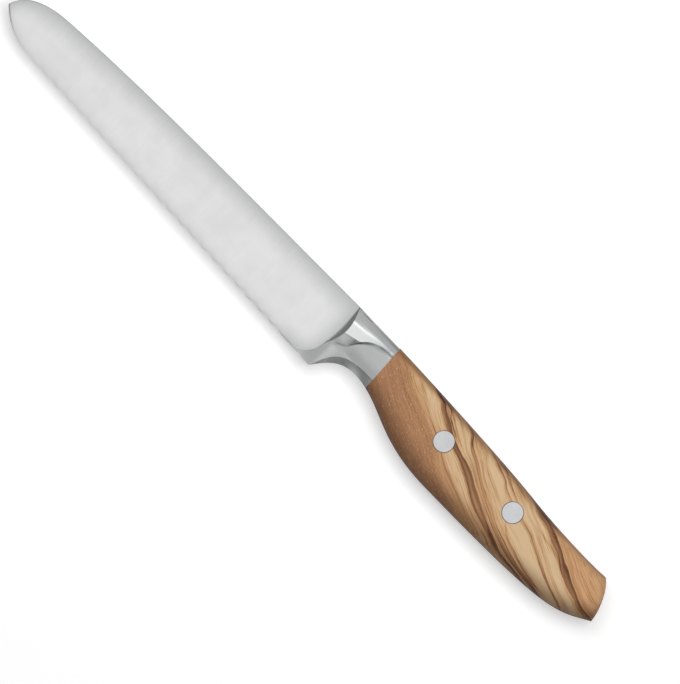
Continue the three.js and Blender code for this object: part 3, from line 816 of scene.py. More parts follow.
class Graph:
    """Adds and links nodes in one node tree."""

    def __init__(self, tree):
        self.tree = tree

    def put(self, value, socket):
        if isinstance(value, Value):
            self.tree.links.new(value.socket, socket)
        else:
            socket.default_value = value

    def fill(self, node, values):
        for key, value in values.items():
            self.put(value, node.inputs[key])

    def node(self, kind, values=None, **settings):
        made = self.tree.nodes.new(kind)
        for key, value in settings.items():
            setattr(made, key, value)
        self.fill(made, values or {})
        return made

    def outputs(self, kind, values=None, **settings):
        """A new node's outputs by name."""
        return {socket.name: Value(self, socket) for socket in self.node(kind, values, **settings).outputs}

    def output(self, key, kind, values=None, **settings):
        """One output of a new node."""
        return Value(self, self.node(kind, values, **settings).outputs[key])

    def math(self, operation, *values):
        return self.output(0, "ShaderNodeMath", dict(enumerate(values)), operation=operation)

    def ramp(self, value, low, high, start=0.0, end=1.0, kind="LINEAR"):
        span = {"Value": value, "From Min": low, "From Max": high, "To Min": start, "To Max": end}
        return self.output("Result", "ShaderNodeMapRange", span, interpolation_type=kind)

    def step(self, value, low, high, start=0.0, end=1.0):
        return self.ramp(value, low, high, start, end, "SMOOTHSTEP")

    def within(self, value, rise, fall):
        """1 between two soft steps and 0 outside them."""
        return self.step(value, *rise) * self.step(value, *fall, 1.0, 0.0)

    def blend(self, share, a, b):
        """Mix of two colours."""
        return self.output(2, "ShaderNodeMix", {"Factor": share, 6: a, 7: b}, data_type="RGBA")

    def between(self, share, a, b):
        """Mix of two numbers."""
        return self.output(0, "ShaderNodeMix", {"Factor": share, 2: a, 3: b})

    def noise(self, vector, scale, detail=2.0, roughness=0.5):
        values = {"Vector": vector, "Scale": scale, "Detail": detail, "Roughness": roughness}
        return self.output("Fac", "ShaderNodeTexNoise", values)

    def vector(self, x, y, z):
        return self.output(0, "ShaderNodeCombineXYZ", {"X": x, "Y": y, "Z": z})

    def split(self, vector):
        return list(self.outputs("ShaderNodeSeparateXYZ", {0: vector}).values())

    def scaled(self, vector, scale):
        return self.output(0, "ShaderNodeVectorMath", {0: vector, 1: scale}, operation="MULTIPLY")

    def measure(self, name):
        """A measure that is kept at the mesh's points."""
        return self.output("Fac", "ShaderNodeAttribute", attribute_name=name)

    def bump(self, height, strength, distance):
        values = {"Height": height, "Strength": strength, "Distance": distance}
        return self.output(0, "ShaderNodeBump", values)

    def place_in_mm(self, shift=(0.0, 0.0, 0.0), scale=(1.0, 1.0, 1.0)):
        """Place on a piece in millimetres, scaled and shifted."""
        place = self.output("Object", "ShaderNodeTexCoord")
        values = {"Vector": place, "Location": shift, "Scale": tuple(k / MM for k in scale)}
        return self.output(0, "ShaderNodeMapping", values)


def node_group(name, inputs, outputs):
    """An empty shader node group with named sockets."""
    group = bpy.data.node_groups.new(name, "ShaderNodeTree")
    for way, sockets in (("INPUT", inputs), ("OUTPUT", outputs)):
        for socket_name, kind in sockets.items():
            group.interface.new_socket(socket_name, in_out=way, socket_type=f"NodeSocket{kind}")
    g = Graph(group)
    return g, g.outputs("NodeGroupInput"), g.node("NodeGroupOutput").inputs


def grind_lines():
    """Fine grinding lines and a broad haze, from a vector squeezed across the lines and a plain one."""
    name = "Grind Lines"
    if name in bpy.data.node_groups:
        return bpy.data.node_groups[name]
    g, given, out = node_group(name, {"Vector": "Vector", "Place": "Vector"},
                               {"Lines": "Float", "Haze": "Float", "Height": "Float"})
    fine = g.noise(given["Vector"], scale=1.0, detail=4.0, roughness=0.62)
    broad = g.noise(given["Vector"], scale=0.22)
    g.put(fine * FINE_LINE_SHARE + broad * (1 - FINE_LINE_SHARE), out["Lines"])
    g.put(g.noise(given["Place"], scale=0.16, detail=3.0), out["Haze"])
    g.put(fine, out["Height"])
    return g.tree


def new_material(name):
    material = bpy.data.materials.new(name)
    material.use_nodes = True
    return material, Graph(material.node_tree), material.node_tree.nodes["Principled BSDF"]


def tinted(colour, share):
    """A colour made darker or lighter, with full alpha."""
    return tuple(min(1.0, c * share) for c in colour[:3]) + (1.0,)


# Painted shade and painted dark reflection on the satin towards the blade's spine, plunge and edge: measure,
# reach in millimetres, strength, falloff and raggedness
SATIN_PAINTED_SHADE = (
    ("from_spine", 7.0, 1.0, 1.35, 2.4),
    ("from_plunge", 6.0, 0.85, 1.5, 0.0),
    ("from_edge", 5.0, 0.7, 2.0, 0.0),
)

# Painted shade and painted highlights on the neck's polished steel, in the row frame's millimetres: soft
# steps up and down, and tints of the steel
NECK_PAINTED_SHADE_X = (15.0, 20.0)
NECK_PAINTED_SHADE_Y = ((-1.6, -0.5), (0.2, 3.6))
NECK_PAINTED_SHADE_TINT = 0.77
NECK_PAINTED_LIGHT_X = ((12.8, 14.2), (14.4, 17.6))
NECK_PAINTED_LIGHT_SLOPE_Y = ((0.0, 1.6), (2.4, 4.0))
NECK_PAINTED_LIGHT_SLOPE_SHARE = 0.8
NECK_PAINTED_LIGHT_LEG_Y = (-2.8, -1.2)
NECK_PAINTED_LIGHT_TINT = 1.26

# Spread of tone and roughness over all ground steel
FINE_LINE_SHARE = 0.65
HAZE_STEP = (0.3, 0.7)
HAZE_SHARE = 0.5
HAZE_TINT = 0.91
LINE_ROUGHNESS = 0.12
HAZE_ROUGHNESS = 0.05
GRIND_BUMP = 0.35
TANG_ROUGHNESS = 0.34


# Blends the painted shade colour into the satin near the spine, the plunge and the edge
def satin_painted_shade(g, lines, shade, colour):
    for name, reach, strength, power, ragged in SATIN_PAINTED_SHADE:
        off = g.measure(name) + (lines - 0.5) * ragged
        near = g.ramp(off, 0.0, reach, strength, 0.0) ** power
        shade = g.blend(near, shade, (*colour, 1.0))
    return shade


def neck_painted_light(g, place, shade, colour):
    """Painted shade on the neck's steel towards the belly, and painted highlights on the leg and on the
    slope above it.
    """
    x, y, _ = g.split(place)
    # dull marks where painted shade darkens the steel towards the belly
    dull = g.within(y, *NECK_PAINTED_SHADE_Y) * g.step(x, *NECK_PAINTED_SHADE_X)
    shade = g.blend(dull, shade, tinted(colour, NECK_PAINTED_SHADE_TINT))
    slope = g.within(y, *NECK_PAINTED_LIGHT_SLOPE_Y) * NECK_PAINTED_LIGHT_SLOPE_SHARE
    painted_light = g.math("MAXIMUM", slope, g.step(y, *NECK_PAINTED_LIGHT_LEG_Y, 1.0, 0.0)) * g.within(x, *NECK_PAINTED_LIGHT_X)
    return g.blend(painted_light, shade, tinted(colour, NECK_PAINTED_LIGHT_TINT))


def ground_steel(name, colour, roughness, across, depth, tone=0.1, painted_border_shade=None, neck=False):
    """Ground steel whose lines run across the given squeeze of space."""
    material, g, shader = new_material(name)
    place = g.place_in_mm()
    spots = {"Vector": g.scaled(place, across), "Place": place}
    grind = g.outputs("ShaderNodeGroup", spots, node_tree=grind_lines())
    lines, haze = grind["Lines"], grind["Haze"]
    shade = g.blend(lines, tinted(colour, 1 - tone), tinted(colour, 1 + tone))
    shade = g.blend(g.step(haze, *HAZE_STEP, 0.0, HAZE_SHARE), shade, tinted(colour, HAZE_TINT))
    # Painted shade and painted dark reflection along the satin's borders
    if painted_border_shade is not None:
        shade = satin_painted_shade(g, lines, shade, painted_border_shade)
    # Painted shade and painted highlights on the polished neck
    if neck:
        shade = neck_painted_light(g, place, shade, colour)
    g.fill(shader, {
        "Base Color": shade,
        "Metallic": 1.0,
        "Roughness": (lines - 0.5) * LINE_ROUGHNESS + roughness + haze * HAZE_ROUGHNESS,
        "Normal": g.bump(grind["Height"], GRIND_BUMP, depth * MM),
    })
    return material


# Wood figure: lines across the handle's side, in millimetres from the tip and below the spine
LINE_X = (150.0, 260.0)
LINE_Y = (-20.0, 40.0)
FORE_LINE = ((150, -4.5), (161.5, 2.8), (166, 5.3), (171, 7.2), (176, 9.1), (181, 11.1), (186, 14),
             (192, 17.5), (200, 20), (210, 23), (235, 31))
FIRST_LOW = ((160, -9), (174.7, 1.2), (177.3, 3.5), (180.3, 5.2), (183, 6.5), (188, 8.8), (191.3, 9.8),
             (194.7, 11.3), (198, 13), (201.3, 15), (205, 16.9), (209.7, 18.4), (213, 19.5), (216.3, 20.6),
             (219.7, 21.3), (228, 22.2), (250, 24))
FIRST_HIGH = ((160, -11), (176.3, 1), (178.3, 2.7), (181.3, 4.3), (184.3, 6), (188, 7.7), (191.3, 8.7),
              (194.7, 9.5), (198, 11), (201.3, 12.8), (205, 14.5), (209.7, 16.7), (213, 18.2), (216.3, 19.5),
              (219.7, 20.7), (228, 21.5), (250, 23.5))
SECOND = ((170, -13), (186, -1.5), (189, 1.7), (190.7, 4), (192.3, 5.2), (195, 6.5), (198, 8.3),
          (201.3, 10.5), (205, 12.3), (209.7, 14.3), (213, 16), (216.3, 17.2), (219.7, 18.3), (223.7, 19.5),
          (228.3, 20.3), (250, 22.5))
THIRD = ((180, -14), (196, -0.5), (200.3, 2.8), (205, 4.5), (207.7, 6.2), (210.3, 7.3), (217.7, 8.9),
         (221.7, 9.7), (225.7, 11.6), (229.7, 13.7), (233, 15.3), (236.3, 16.8), (241.3, 18.5), (250, 20.5))
FOURTH_LOW = ((200, -12), (216, 1), (219.7, 3.9), (223, 4.6), (225.7, 5.7), (228.3, 7), (231, 8),
              (233.7, 9.5), (236.3, 11.3), (239, 12.5), (241.7, 13.7), (245, 14.5), (247.7, 15.6),
              (251, 15.9), (256, 15.9))
FOURTH_HIGH = ((202, -12), (218, 0.5), (221.7, 3.2), (224.3, 3.9), (227, 4.9), (229.7, 6), (232.3, 7.3),
               (235, 8.7), (237.7, 9.8), (240.3, 11.3), (243.7, 12.7), (247, 14), (250.3, 14.9), (256, 14.9))
BRANCH = ((190, -12), (204, 2), (208.3, 7.7), (210.7, 9.3), (215.3, 14), (218.3, 16.2), (223, 17.8),
          (228.3, 19.3), (250, 24))
TWIG = ((200, -6), (208, 2.2), (216.3, 4.7), (219.7, 6), (223.7, 7.7), (228.3, 8.8), (232, 9.7), (240, 13),
        (250, 18))
BESIDE_FIRST = ((165, -10), (178.5, 1), (181, 3.5), (187, 6.6), (192, 8.4), (200, 12))
BESIDE_SECOND = ((175, -14), (187.5, 0.8), (188.5, 2), (191.5, 5.2), (194, 7), (200, 11))
# A dark line that hugs the top outline, in patches: painted shade of the rounded top edge
TOP_EDGE_PAINTED_SHADE = ((150, 0.6), (165, 0.7), (178, 1), (190, 1.5), (202, 2), (214, 2.7), (226, 3.4), (238, 4),
            (260, 3.9))

# Tones along the lines: the two sides of the streaks, and how strongly each thin line shows
TONE = (0.0, 1.0)
FIRST_HIGH_TONE = ((150, 0.8), (173, 0.95), (177, 0.92), (184, 0.88), (190, 0.89), (196, 0.8), (205, 0.77),
                   (212, 0.96), (218, 1), (260, 1))
FIRST_LOW_TONE = ((150, 0.8), (176, 0.8), (184, 0.8), (190, 0.66), (205, 0.58), (211, 0.82), (217, 1),
                  (260, 1))
FOURTH_TONES = (0.95, 0.77)
FIRST_RIM_TONE = ((150, 0), (184, 0), (188, 0.17), (205, 0.16), (211, 0.06), (260, 0))
SECOND_TONE = ((150, 0.5), (190, 0.52), (194, 0.3), (205, 0.22), (220, 0.32), (260, 0.3))
THIRD_TONE = ((150, 0.5), (200, 0.5), (204, 0.55), (208, 0.5), (212, 0.3), (218, 0.2), (224, 0.23),
              (236, 0.23), (241, 0.2), (260, 0.2))
BRANCH_TONE = ((150, 0.1), (206, 0.12), (210, 0.28), (214, 0.32), (228, 0.3), (260, 0.3))
TWIG_TONE = ((150, 0.15), (212, 0.2), (219, 0.4), (232, 0.3), (240, 0), (260, 0))
BESIDE_FIRST_TONE = ((150, 0.4), (185, 0.38), (190, 0), (260, 0))
BESIDE_SECOND_TONE = ((150, 0.45), (190, 0.45), (193, 0), (260, 0))
TOP_EDGE_PAINTED_SHADE_TONE = ((150, 0), (158, 0.05), (162, 0.33), (172, 0.33), (176.5, 0.8), (181, 0.7), (183, 0.1),
                 (187, 0.1), (190, 0.35), (192, 0.1), (200, 0.2), (203, 0.55), (206, 0.35), (209, 0.1),
                 (218, 0.1), (221, 0.4), (226, 0.65), (229, 0.2), (233, 0), (260, 0))

# Thin lines that bound nothing, with their widths, and the widths of those that do
THIN_LINES = (
    (BRANCH, BRANCH_TONE, 0.7),
    (TWIG, TWIG_TONE, 0.7),
    (BESIDE_FIRST, BESIDE_FIRST_TONE, 0.45),
    # The top-edge line here is painted shade, not grain
    (TOP_EDGE_PAINTED_SHADE, TOP_EDGE_PAINTED_SHADE_TONE, 1.1),
    (BESIDE_SECOND, BESIDE_SECOND_TONE, 0.45),
)
FIRST_RIM_WIDTH = 0.55
SECOND_WIDTH = 0.5
THIRD_WIDTH = 0.45

# Warmer tints of the plain wood by the neck and of the wood at the butt
RUDDY = (0.38, 0.115, 0.1, 1.0)
RUDDY_SHARE = 0.1
HONEY = (0.92, 0.37, 0.17, 1.0)
HONEY_SHARE = 0.08

# Half thickness from which the figure leans on its way to the tang, and its lean
LEAN_HALF = 7.0
FIGURE_LEAN = 0.8

# How far the lines wander, in long and in short waves
LONG_WANDER = 0.5
SHORT_WANDER = 0.28

# Flow is 0 on the fore line, 1 on the first streak and so on to 4 on the fourth
# Its rise for each millimetre past these lines
OUTER_FLOW = 0.16

# Squeeze of the grain along the handle, across the lines and into the wood
GRAIN_ALONG = 0.03
GRAIN_ACROSS = 6.0
GRAIN_DEEP = 0.12
FLECK_ACROSS = 1.8
FLECK_DEEP = 0.6

# Soft steps of the grain: where each starts and ends, and its tones there
BANDS = (0.4, 0.66, 0.0, 0.48)
GRAIN = (0.47, 0.68, 0.0, 0.32)
THREADS = (0.46, 0.74, -0.11, 0.32)
PLAIN_GRAIN = (0.35, 0.7, 0.575, 0.685)
PLAIN_THREADS = (0.42, 0.7, -0.05, 0.05)
CORE_GRAIN = (0.35, 0.65, 0.04, -0.08)
PAINTED_SHADE_GAIN = (0.0, 0.62, 0.5, 0.0)
FLECKS = (0.53, 0.7)
FLECK_LOSS = 0.24

# Hair lines: how many to a flow of 1, how far the bands bend them, their width and where they show
HAIRS = 4.6
HAIR_BEND = 2.5
HAIR_WIDTH = (0.02, 0.13)
HAIR_PATCHES = (0.4, 0.58, 0.0, 0.24)
BUTT_HAIRS = (3.9, 4.1, 1.0, 0.4)

# Areas of the figure: soft steps of flow and of places in millimetres, and the tones that they add or take
BUTT_FLOW = (3.9, 4.2)
BUTT_CALM = 0.55
BUTT_TONE = 0.36
FORE_FLOW = (0.0, 0.5)
FORE_CALM = 0.4
FORE_HALO = 5.5
FORE_HALO_TONE = 0.28
FORE_BORDER = (-2.4, 1.8)
FORE_RAGGED = 5.0
PATCH_FLOW = ((0.95, 1.2), (1.7, 2.0))
PATCH_X = (190.0, 198.0)
PATCH_TONE = 0.32
CLEAR_FLOW = ((2.05, 2.25), (3.5, 3.9))
CLEAR_LOSS = 0.16
WEDGE_FLOW = (3.0, 3.15)
WEDGE_X = ((199.0, 204.0), (211.0, 217.0))
WEDGE_TONE = 0.3
LIGHT_BELLY_X = (178.0, 194.0)
LIGHT_BELLY_Y = (-1.0, 3.5)
LIGHT_BELLY_LOSS = 0.2

# Soft borders of the lines' halos, of the dark streaks and their cores, and of the thin lines
HALO_RISE = (-0.3, 0.2)
STREAK_LOW = (-0.45, 0.45)
STREAK_HIGH = (-0.2, 0.25)
STREAK_CORE = (0.3, 0.7)
CORE_RAGGED = 0.6
THIN_CORE = 0.25
THIN_RAGGED = 0.12

# Painted shade on the wood's rounded rims, darker towards the top and belly edges where they turn away from
# the light: where it fades, in millimetres from its borders, and its tones
GRAIN_PAINTED_SHADE = (0.2, 3.0)
BACK_PAINTED_SHADE = (0.3, 2.2)
BACK_PAINTED_SHADE_TONE = 0.2
BELLY_PAINTED_SHADE = (1.5, 7.5)
BORDER_PAINTED_SHADE = (0.05, 0.6)
BORDER_PAINTED_SHADE_TONE = 0.3
NARROW_PAINTED_SHADE_X = (226.0, 236.0)
NARROW_PAINTED_SHADE = 2.4

# Spread of the wood's roughness, and the relief of its grain in millimetres
GLOSS_SPREAD = 0.2
GRAIN_RELIEF = 0.08


class OliveFigure:
    """Nodes that draw figured olive wood, with tones from 0, pale, to 1, dark."""

    def __init__(self, g, place):
        self.g = g
        self.x, y, self.z = g.split(place)
        self.slow = g.noise(place, scale=0.09)
        quick = g.noise(place, scale=0.6, detail=3.0)
        self.y = y + (self.slow - 0.5) * LONG_WANDER + (quick - 0.5) * SHORT_WANDER
        # The figure leans where it runs over the rounded edges towards the tang
        depth = g.math("MAXIMUM", LEAN_HALF - abs(self.z), 0.0)
        self.along = g.ramp(depth * FIGURE_LEAN + self.x, *LINE_X)
        self.fore, self.second, self.third = (self.drawn(line) for line in (FORE_LINE, SECOND, THIRD))
        self.first_low, self.first_high = self.drawn(FIRST_LOW), self.drawn(FIRST_HIGH)
        self.fourth_low, self.fourth_high = self.drawn(FOURTH_LOW), self.drawn(FOURTH_HIGH)
        self.past_fore = self.y - self.fore
        self.flow = self.flow_between_lines()
        across = self.flow * GRAIN_ACROSS
        run = g.vector(self.x * GRAIN_ALONG, across, self.z * GRAIN_DEEP)
        self.bands = g.noise(run, scale=0.55)
        self.grain = g.noise(run, scale=1.8, detail=3.0, roughness=0.6)
        self.threads = g.noise(run, scale=6.0, detail=3.0, roughness=0.65)
        self.ragged = self.threads - 0.5
        fleck_run = g.vector(self.x, across * FLECK_ACROSS, self.z * FLECK_DEEP)
        self.flecks = g.step(g.noise(fleck_run, scale=1.6, roughness=0.6), *FLECKS)
        self.at_butt = g.step(self.flow, *BUTT_FLOW)
        self.in_fore = g.step(self.past_fore + (self.grain - 0.5) * FORE_RAGGED, *FORE_BORDER)

    def drawn(self, points, span=LINE_Y):
        """Value of one drawn curve at a place along the handle."""
        low, high = span
        curve = self.g.node("ShaderNodeFloatCurve", {"Value": self.along})
        line = curve.mapping.curves[0]
        while len(line.points) < len(points):
            line.points.new(0.5, 0.5)
        for point, (x, y) in zip(line.points, points):
            point.location = ((x - LINE_X[0]) / (LINE_X[1] - LINE_X[0]), (y - low) / (high - low))
        curve.mapping.update()
        return Value(self.g, curve.outputs[0]) * (high - low) + low

    def flow_between_lines(self):
        """Count of the lines with shares of the way between them, so that the fine grain runs with them."""
        g = self.g
        flow = g.ramp(self.y, self.fore, self.first_low)
        gaps = ((self.first_high, self.second), (self.second, self.third), (self.third, self.fourth_low))
        for low, high in gaps:
            flow = flow + g.ramp(self.y, low, high)
        beyond = g.math("MAXIMUM", self.fourth_high - self.y, 0.0)
        before = g.math("MAXIMUM", self.past_fore, 0.0)
        return flow + (beyond - before) * OUTER_FLOW

    def hairs(self):
        """Fine dark lines that show in patches."""
        g = self.g
        off = abs(g.math("FRACT", self.flow * HAIRS + self.bands * HAIR_BEND) - 0.5)
        hairs = g.step(off, *HAIR_WIDTH, 1.0, 0.0)
        return hairs * g.step(self.slow, *HAIR_PATCHES) * g.step(self.flow, *BUTT_HAIRS)

    def figured(self):
        """Tone of the figured wood: bands and grain, then the broad areas, then a halo below each line."""
        g, flow = self.g, self.flow
        tone = g.step(self.bands, *BANDS) + g.step(self.grain, *GRAIN)
        tone = tone * (1.0 - self.at_butt * BUTT_CALM) * g.step(flow, *FORE_FLOW, FORE_CALM, 1.0)
        tone = tone + g.step(self.threads, *THREADS) + self.at_butt * BUTT_TONE + self.hairs()
        tone = tone + g.step(self.past_fore, -FORE_HALO, 0.0, 0.0, FORE_HALO_TONE)
        tone = tone + g.within(flow, *PATCH_FLOW) * g.step(self.x, *PATCH_X, 0.0, PATCH_TONE)
        tone = tone - g.within(flow, *CLEAR_FLOW) * CLEAR_LOSS
        tone = tone + g.step(flow, *WEDGE_FLOW) * g.within(self.x, *WEDGE_X) * WEDGE_TONE
        halos = ((self.first_low, 2.0, 0.3), (self.fourth_low, 1.6, 0.3),
                 (self.second, 1.2, 0.15), (self.third, 1.6, 0.22))
        for line, reach, strength in halos:
            tone = tone + g.within(self.y - line, HALO_RISE, (HALO_RISE[1], reach)) * strength
        return tone

    def plain(self):
        """Tone of the plain wood next to the steel, with short light flecks."""
        g = self.g
        tone = g.step(self.grain, *PLAIN_GRAIN) + g.step(self.threads, *PLAIN_THREADS)
        light = g.step(self.past_fore, *LIGHT_BELLY_Y, 1.0, 0.0)
        light = light * g.step(self.x, *LIGHT_BELLY_X, 0.0, LIGHT_BELLY_LOSS)
        return tone - self.flecks * FLECK_LOSS - light

    def with_streaks(self, tone):
        """The tone with the two dark streaks, and where these are."""
        g, y, ragged = self.g, self.y, self.ragged
        first_tones = [self.drawn(tones, TONE) for tones in (FIRST_HIGH_TONE, FIRST_LOW_TONE)]
        streaks = 0.0
        for low, high, tones in ((self.first_low, self.first_high, first_tones),
                                 (self.fourth_low, self.fourth_high, FOURTH_TONES)):
            streak = g.step(low - y + ragged, *STREAK_LOW) * g.step(y - high + ragged, *STREAK_HIGH)
            core = g.step(g.ramp(y, high, low) + ragged * CORE_RAGGED, *STREAK_CORE, *tones)
            tone = g.between(streak, tone, core + g.step(self.grain, *CORE_GRAIN))
            streaks = g.math("MAXIMUM", streaks, streak)
        return tone, streaks

    def with_thin_lines(self, tone):
        thin = [(self.drawn(line), tones, width) for line, tones, width in THIN_LINES]
        thin += [(self.first_low, FIRST_RIM_TONE, FIRST_RIM_WIDTH), (self.second, SECOND_TONE, SECOND_WIDTH),
                 (self.third, THIRD_TONE, THIRD_WIDTH)]
        for line, tones, width in thin:
            off = abs(self.y - line) + self.ragged * THIN_RAGGED
            tone = tone + self.g.step(off, width * THIN_CORE, width, self.drawn(tones, TONE), 0.0)
        return tone


def olive_figure():
    """Colour, gloss and height of figured olive wood at a place in the handle."""
    name = "Olive Figure"
    if name in bpy.data.node_groups:
        return bpy.data.node_groups[name]
    woods = dict.fromkeys(("Pale", "Tan", "Brown", "Dark"), "Color")
    g, given, out = node_group(name, {"Place": "Vector", **woods, "Rim": "Float"},
                               {"Colour": "Color", "Gloss": "Float", "Height": "Float"})
    figure = OliveFigure(g, given["Place"])
    tone = g.between(figure.in_fore, figure.figured(), figure.plain())
    tone, streaks = figure.with_streaks(tone)
    tone = figure.with_thin_lines(tone)
    # The Rim input darkens pale tones near the top edge: painted shade
    tone = tone + given["Rim"] * g.ramp(tone, *PAINTED_SHADE_GAIN)
    colour = given["Pale"]
    for wood, low, high in (("Tan", 0.0, 0.4), ("Brown", 0.4, 0.7), ("Dark", 0.7, 1.0)):
        colour = g.blend(g.ramp(tone, low, high), colour, given[wood])
    colour = g.blend(figure.in_fore * RUDDY_SHARE, colour, RUDDY)
    g.put(g.blend(figure.at_butt * HONEY_SHARE, colour, HONEY), out["Colour"])
    g.put(figure.threads * 0.6 + streaks * 0.25, out["Gloss"])
    g.put(figure.threads * 0.7 - figure.flecks * 0.3, out["Height"])
    return g.tree


def olive_wood(name, settings, shift, scale):
    """Oiled olive wood. Shift and scale place the figure on one scale of the handle."""
    material, g, shader = new_material(name)
    place = g.place_in_mm(shift, scale)
    x, _, _ = g.split(place)
    # Distances to the top and bottom outlines, for the painted shade along the wood's rims
    back = g.measure("from_back") * g.step(x, *NARROW_PAINTED_SHADE_X, 1.0, NARROW_PAINTED_SHADE)
    belly = g.measure("from_belly")
    woods = {key.title(): (*getattr(settings, key), 1.0) for key in ("pale", "tan", "brown", "dark")}
    spots = {"Place": place, **woods, "Rim": g.step(back, *GRAIN_PAINTED_SHADE, 1.0, 0.0)}
    figure = g.outputs("ShaderNodeGroup", spots, node_tree=olive_figure())
    back_painted_shade = g.step(back, *BACK_PAINTED_SHADE, BACK_PAINTED_SHADE_TONE, 0.0)
    belly_painted_shade = g.step(belly, *BELLY_PAINTED_SHADE, settings.painted_rim_shade, 0.0)
    painted_border_shade = g.step(g.math("MINIMUM", back, belly), *BORDER_PAINTED_SHADE, BORDER_PAINTED_SHADE_TONE, 0.0)
    # rim is the painted shade on the wood's rims and border line
    rim = g.math("MAXIMUM", back_painted_shade, belly_painted_shade) + painted_border_shade
    g.fill(shader, {
        "Base Color": g.blend(rim, figure["Colour"], woods["Dark"]),
        "Roughness": figure["Gloss"] * GLOSS_SPREAD + (settings.roughness - GLOSS_SPREAD / 2),
        "Specular IOR Level": 0.06,
        "Normal": g.bump(figure["Height"], strength=0.25, distance=GRAIN_RELIEF * MM),
    })
    return material


# Operators


class KNIFE_OT_forging(Operator):
    """Build the forging: the blade, the half bolster and the tang"""

    bl_idname = "knife.forging"
    bl_label = "Forging"
    bl_options = {"REGISTER", "UNDO"}

    def execute(self, context):
        scene = context.scene
        blade = BladeShape(scene.knife_blade)
        neck = NeckShape(blade, scene.knife_neck)
        front, middle = blade_sheet(blade, neck), neck.sheet()
        rear = tang_sheet(middle[-1])
        upper = np.concatenate([front, middle, rear])
        lower = upper * (1, 1, -1)
        slots = [0] * (len(front) - 1 + SATIN_ROWS) + [1] * (len(middle) - SATIN_ROWS) + [2] * len(rear)
        # The satin carries painted shade and painted dark reflection along its spine, plunge and edge
        satin = ground_steel("Satin Blade", scene.knife_blade.colour, scene.knife_blade.roughness,
                             across=(7.0, 0.22, 0.22), depth=0.012, painted_border_shade=scene.knife_blade.painted_satin_shade)
        # The neck's material carries painted shade and painted highlights
        polish = ground_steel("Polished Neck", scene.knife_neck.colour, scene.knife_neck.roughness,
                              across=(0.35, 4.0, 4.0), depth=0.003, tone=0.07, neck=True)
        bare = ground_steel("Tang Edge", scene.knife_neck.colour, TANG_ROUGHNESS,
                            across=(0.4, 5.0, 5.0), depth=0.008, tone=0.05)
        points, faces, places = closed_sheets(upper, lower, slots)
        piece = new_piece("blade_and_tang", points, faces, [satin, polish, bare], places, sharp_angle=20)
        hole = TUBE_RADIUS + TANG_HOLE_GAP
        profile = [(0, -TANG_CUT), (hole, -TANG_CUT), (hole, TANG_CUT), (0, TANG_CUT)]
        cutters = [new_piece("cutter", *turned(profile, rivet_centre(place)), []) for place in RIVET_PLACES]
        cut(piece, cutters)
        mark(piece, {
            "from_spine": lambda p: np.maximum(blade.spine_y(p[:, 0]) - p[:, 1], 0),
            "from_edge": lambda p: np.maximum(p[:, 1] - blade.edge_y(p[:, 0]), 0),
            "from_plunge": neck.from_plunge,
        })
        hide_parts("forging")
        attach(piece, "root")
        return {"FINISHED"}


class KNIFE_OT_scales(Operator):
    """Build the two wooden scales with their rivet holes"""

    bl_idname = "knife.scales"
    bl_label = "Wooden Scales"
    bl_options = {"REGISTER", "UNDO"}

    def execute(self, context):
        scene = context.scene
        outside = scale_sheet()
        upper = outside[:, 0, :2]
        lower = outside[:, -1, :2]
        inside = outside.copy()
        inside[..., 2] = SCALE_FLOOR
        # The figure's lines are measured from the tip and from the spine
        shift = np.array([BLADE_LENGTH - ORIGIN[0] / MM, ORIGIN[1] / MM, -ORIGIN[2] / MM])
        woods = {
            "front": olive_wood("Olive Wood Front", scene.knife_handle, shift, FRONT_SCALE),
            "back": olive_wood("Olive Wood Back", scene.knife_handle, shift + BACK_SHIFT, BACK_SCALE),
        }
        for side, wood in woods.items():
            flip = (1, 1, 1) if side == "front" else (1, 1, -1)
            points, faces, _ = closed_sheets(outside * flip, inside * flip)
            piece = new_piece(f"{side}_wood", points, faces, [wood], sharp_angle=40)
            cutters = [self.hole_cutter(scene.knife_rivets, place, side == "back") for place in RIVET_PLACES]
            cut(piece, cutters, sharp_angle=40)
            mark(piece, {
                "from_back": lambda p: distance(p, upper),
                "from_belly": lambda p: distance(p, lower),
            })
            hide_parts(f"{side}_scale")
            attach(piece, "root")
        return {"FINISHED"}

    def hole_cutter(self, settings, place, flip):
        gap = settings.ring_gap / MM
        tube = TUBE_RADIUS + gap
        head = settings.head_diameter / MM / 2 + gap
        seat = GRIP_HALF - RIVET_HEAD_DEPTH - gap
        profile = [(0, 0), (tube, 0), (tube, seat), (head, seat), (head, SCALE_CUT), (0, SCALE_CUT)]
        return new_piece("cutter", *turned(profile, rivet_centre(place), flip), [])


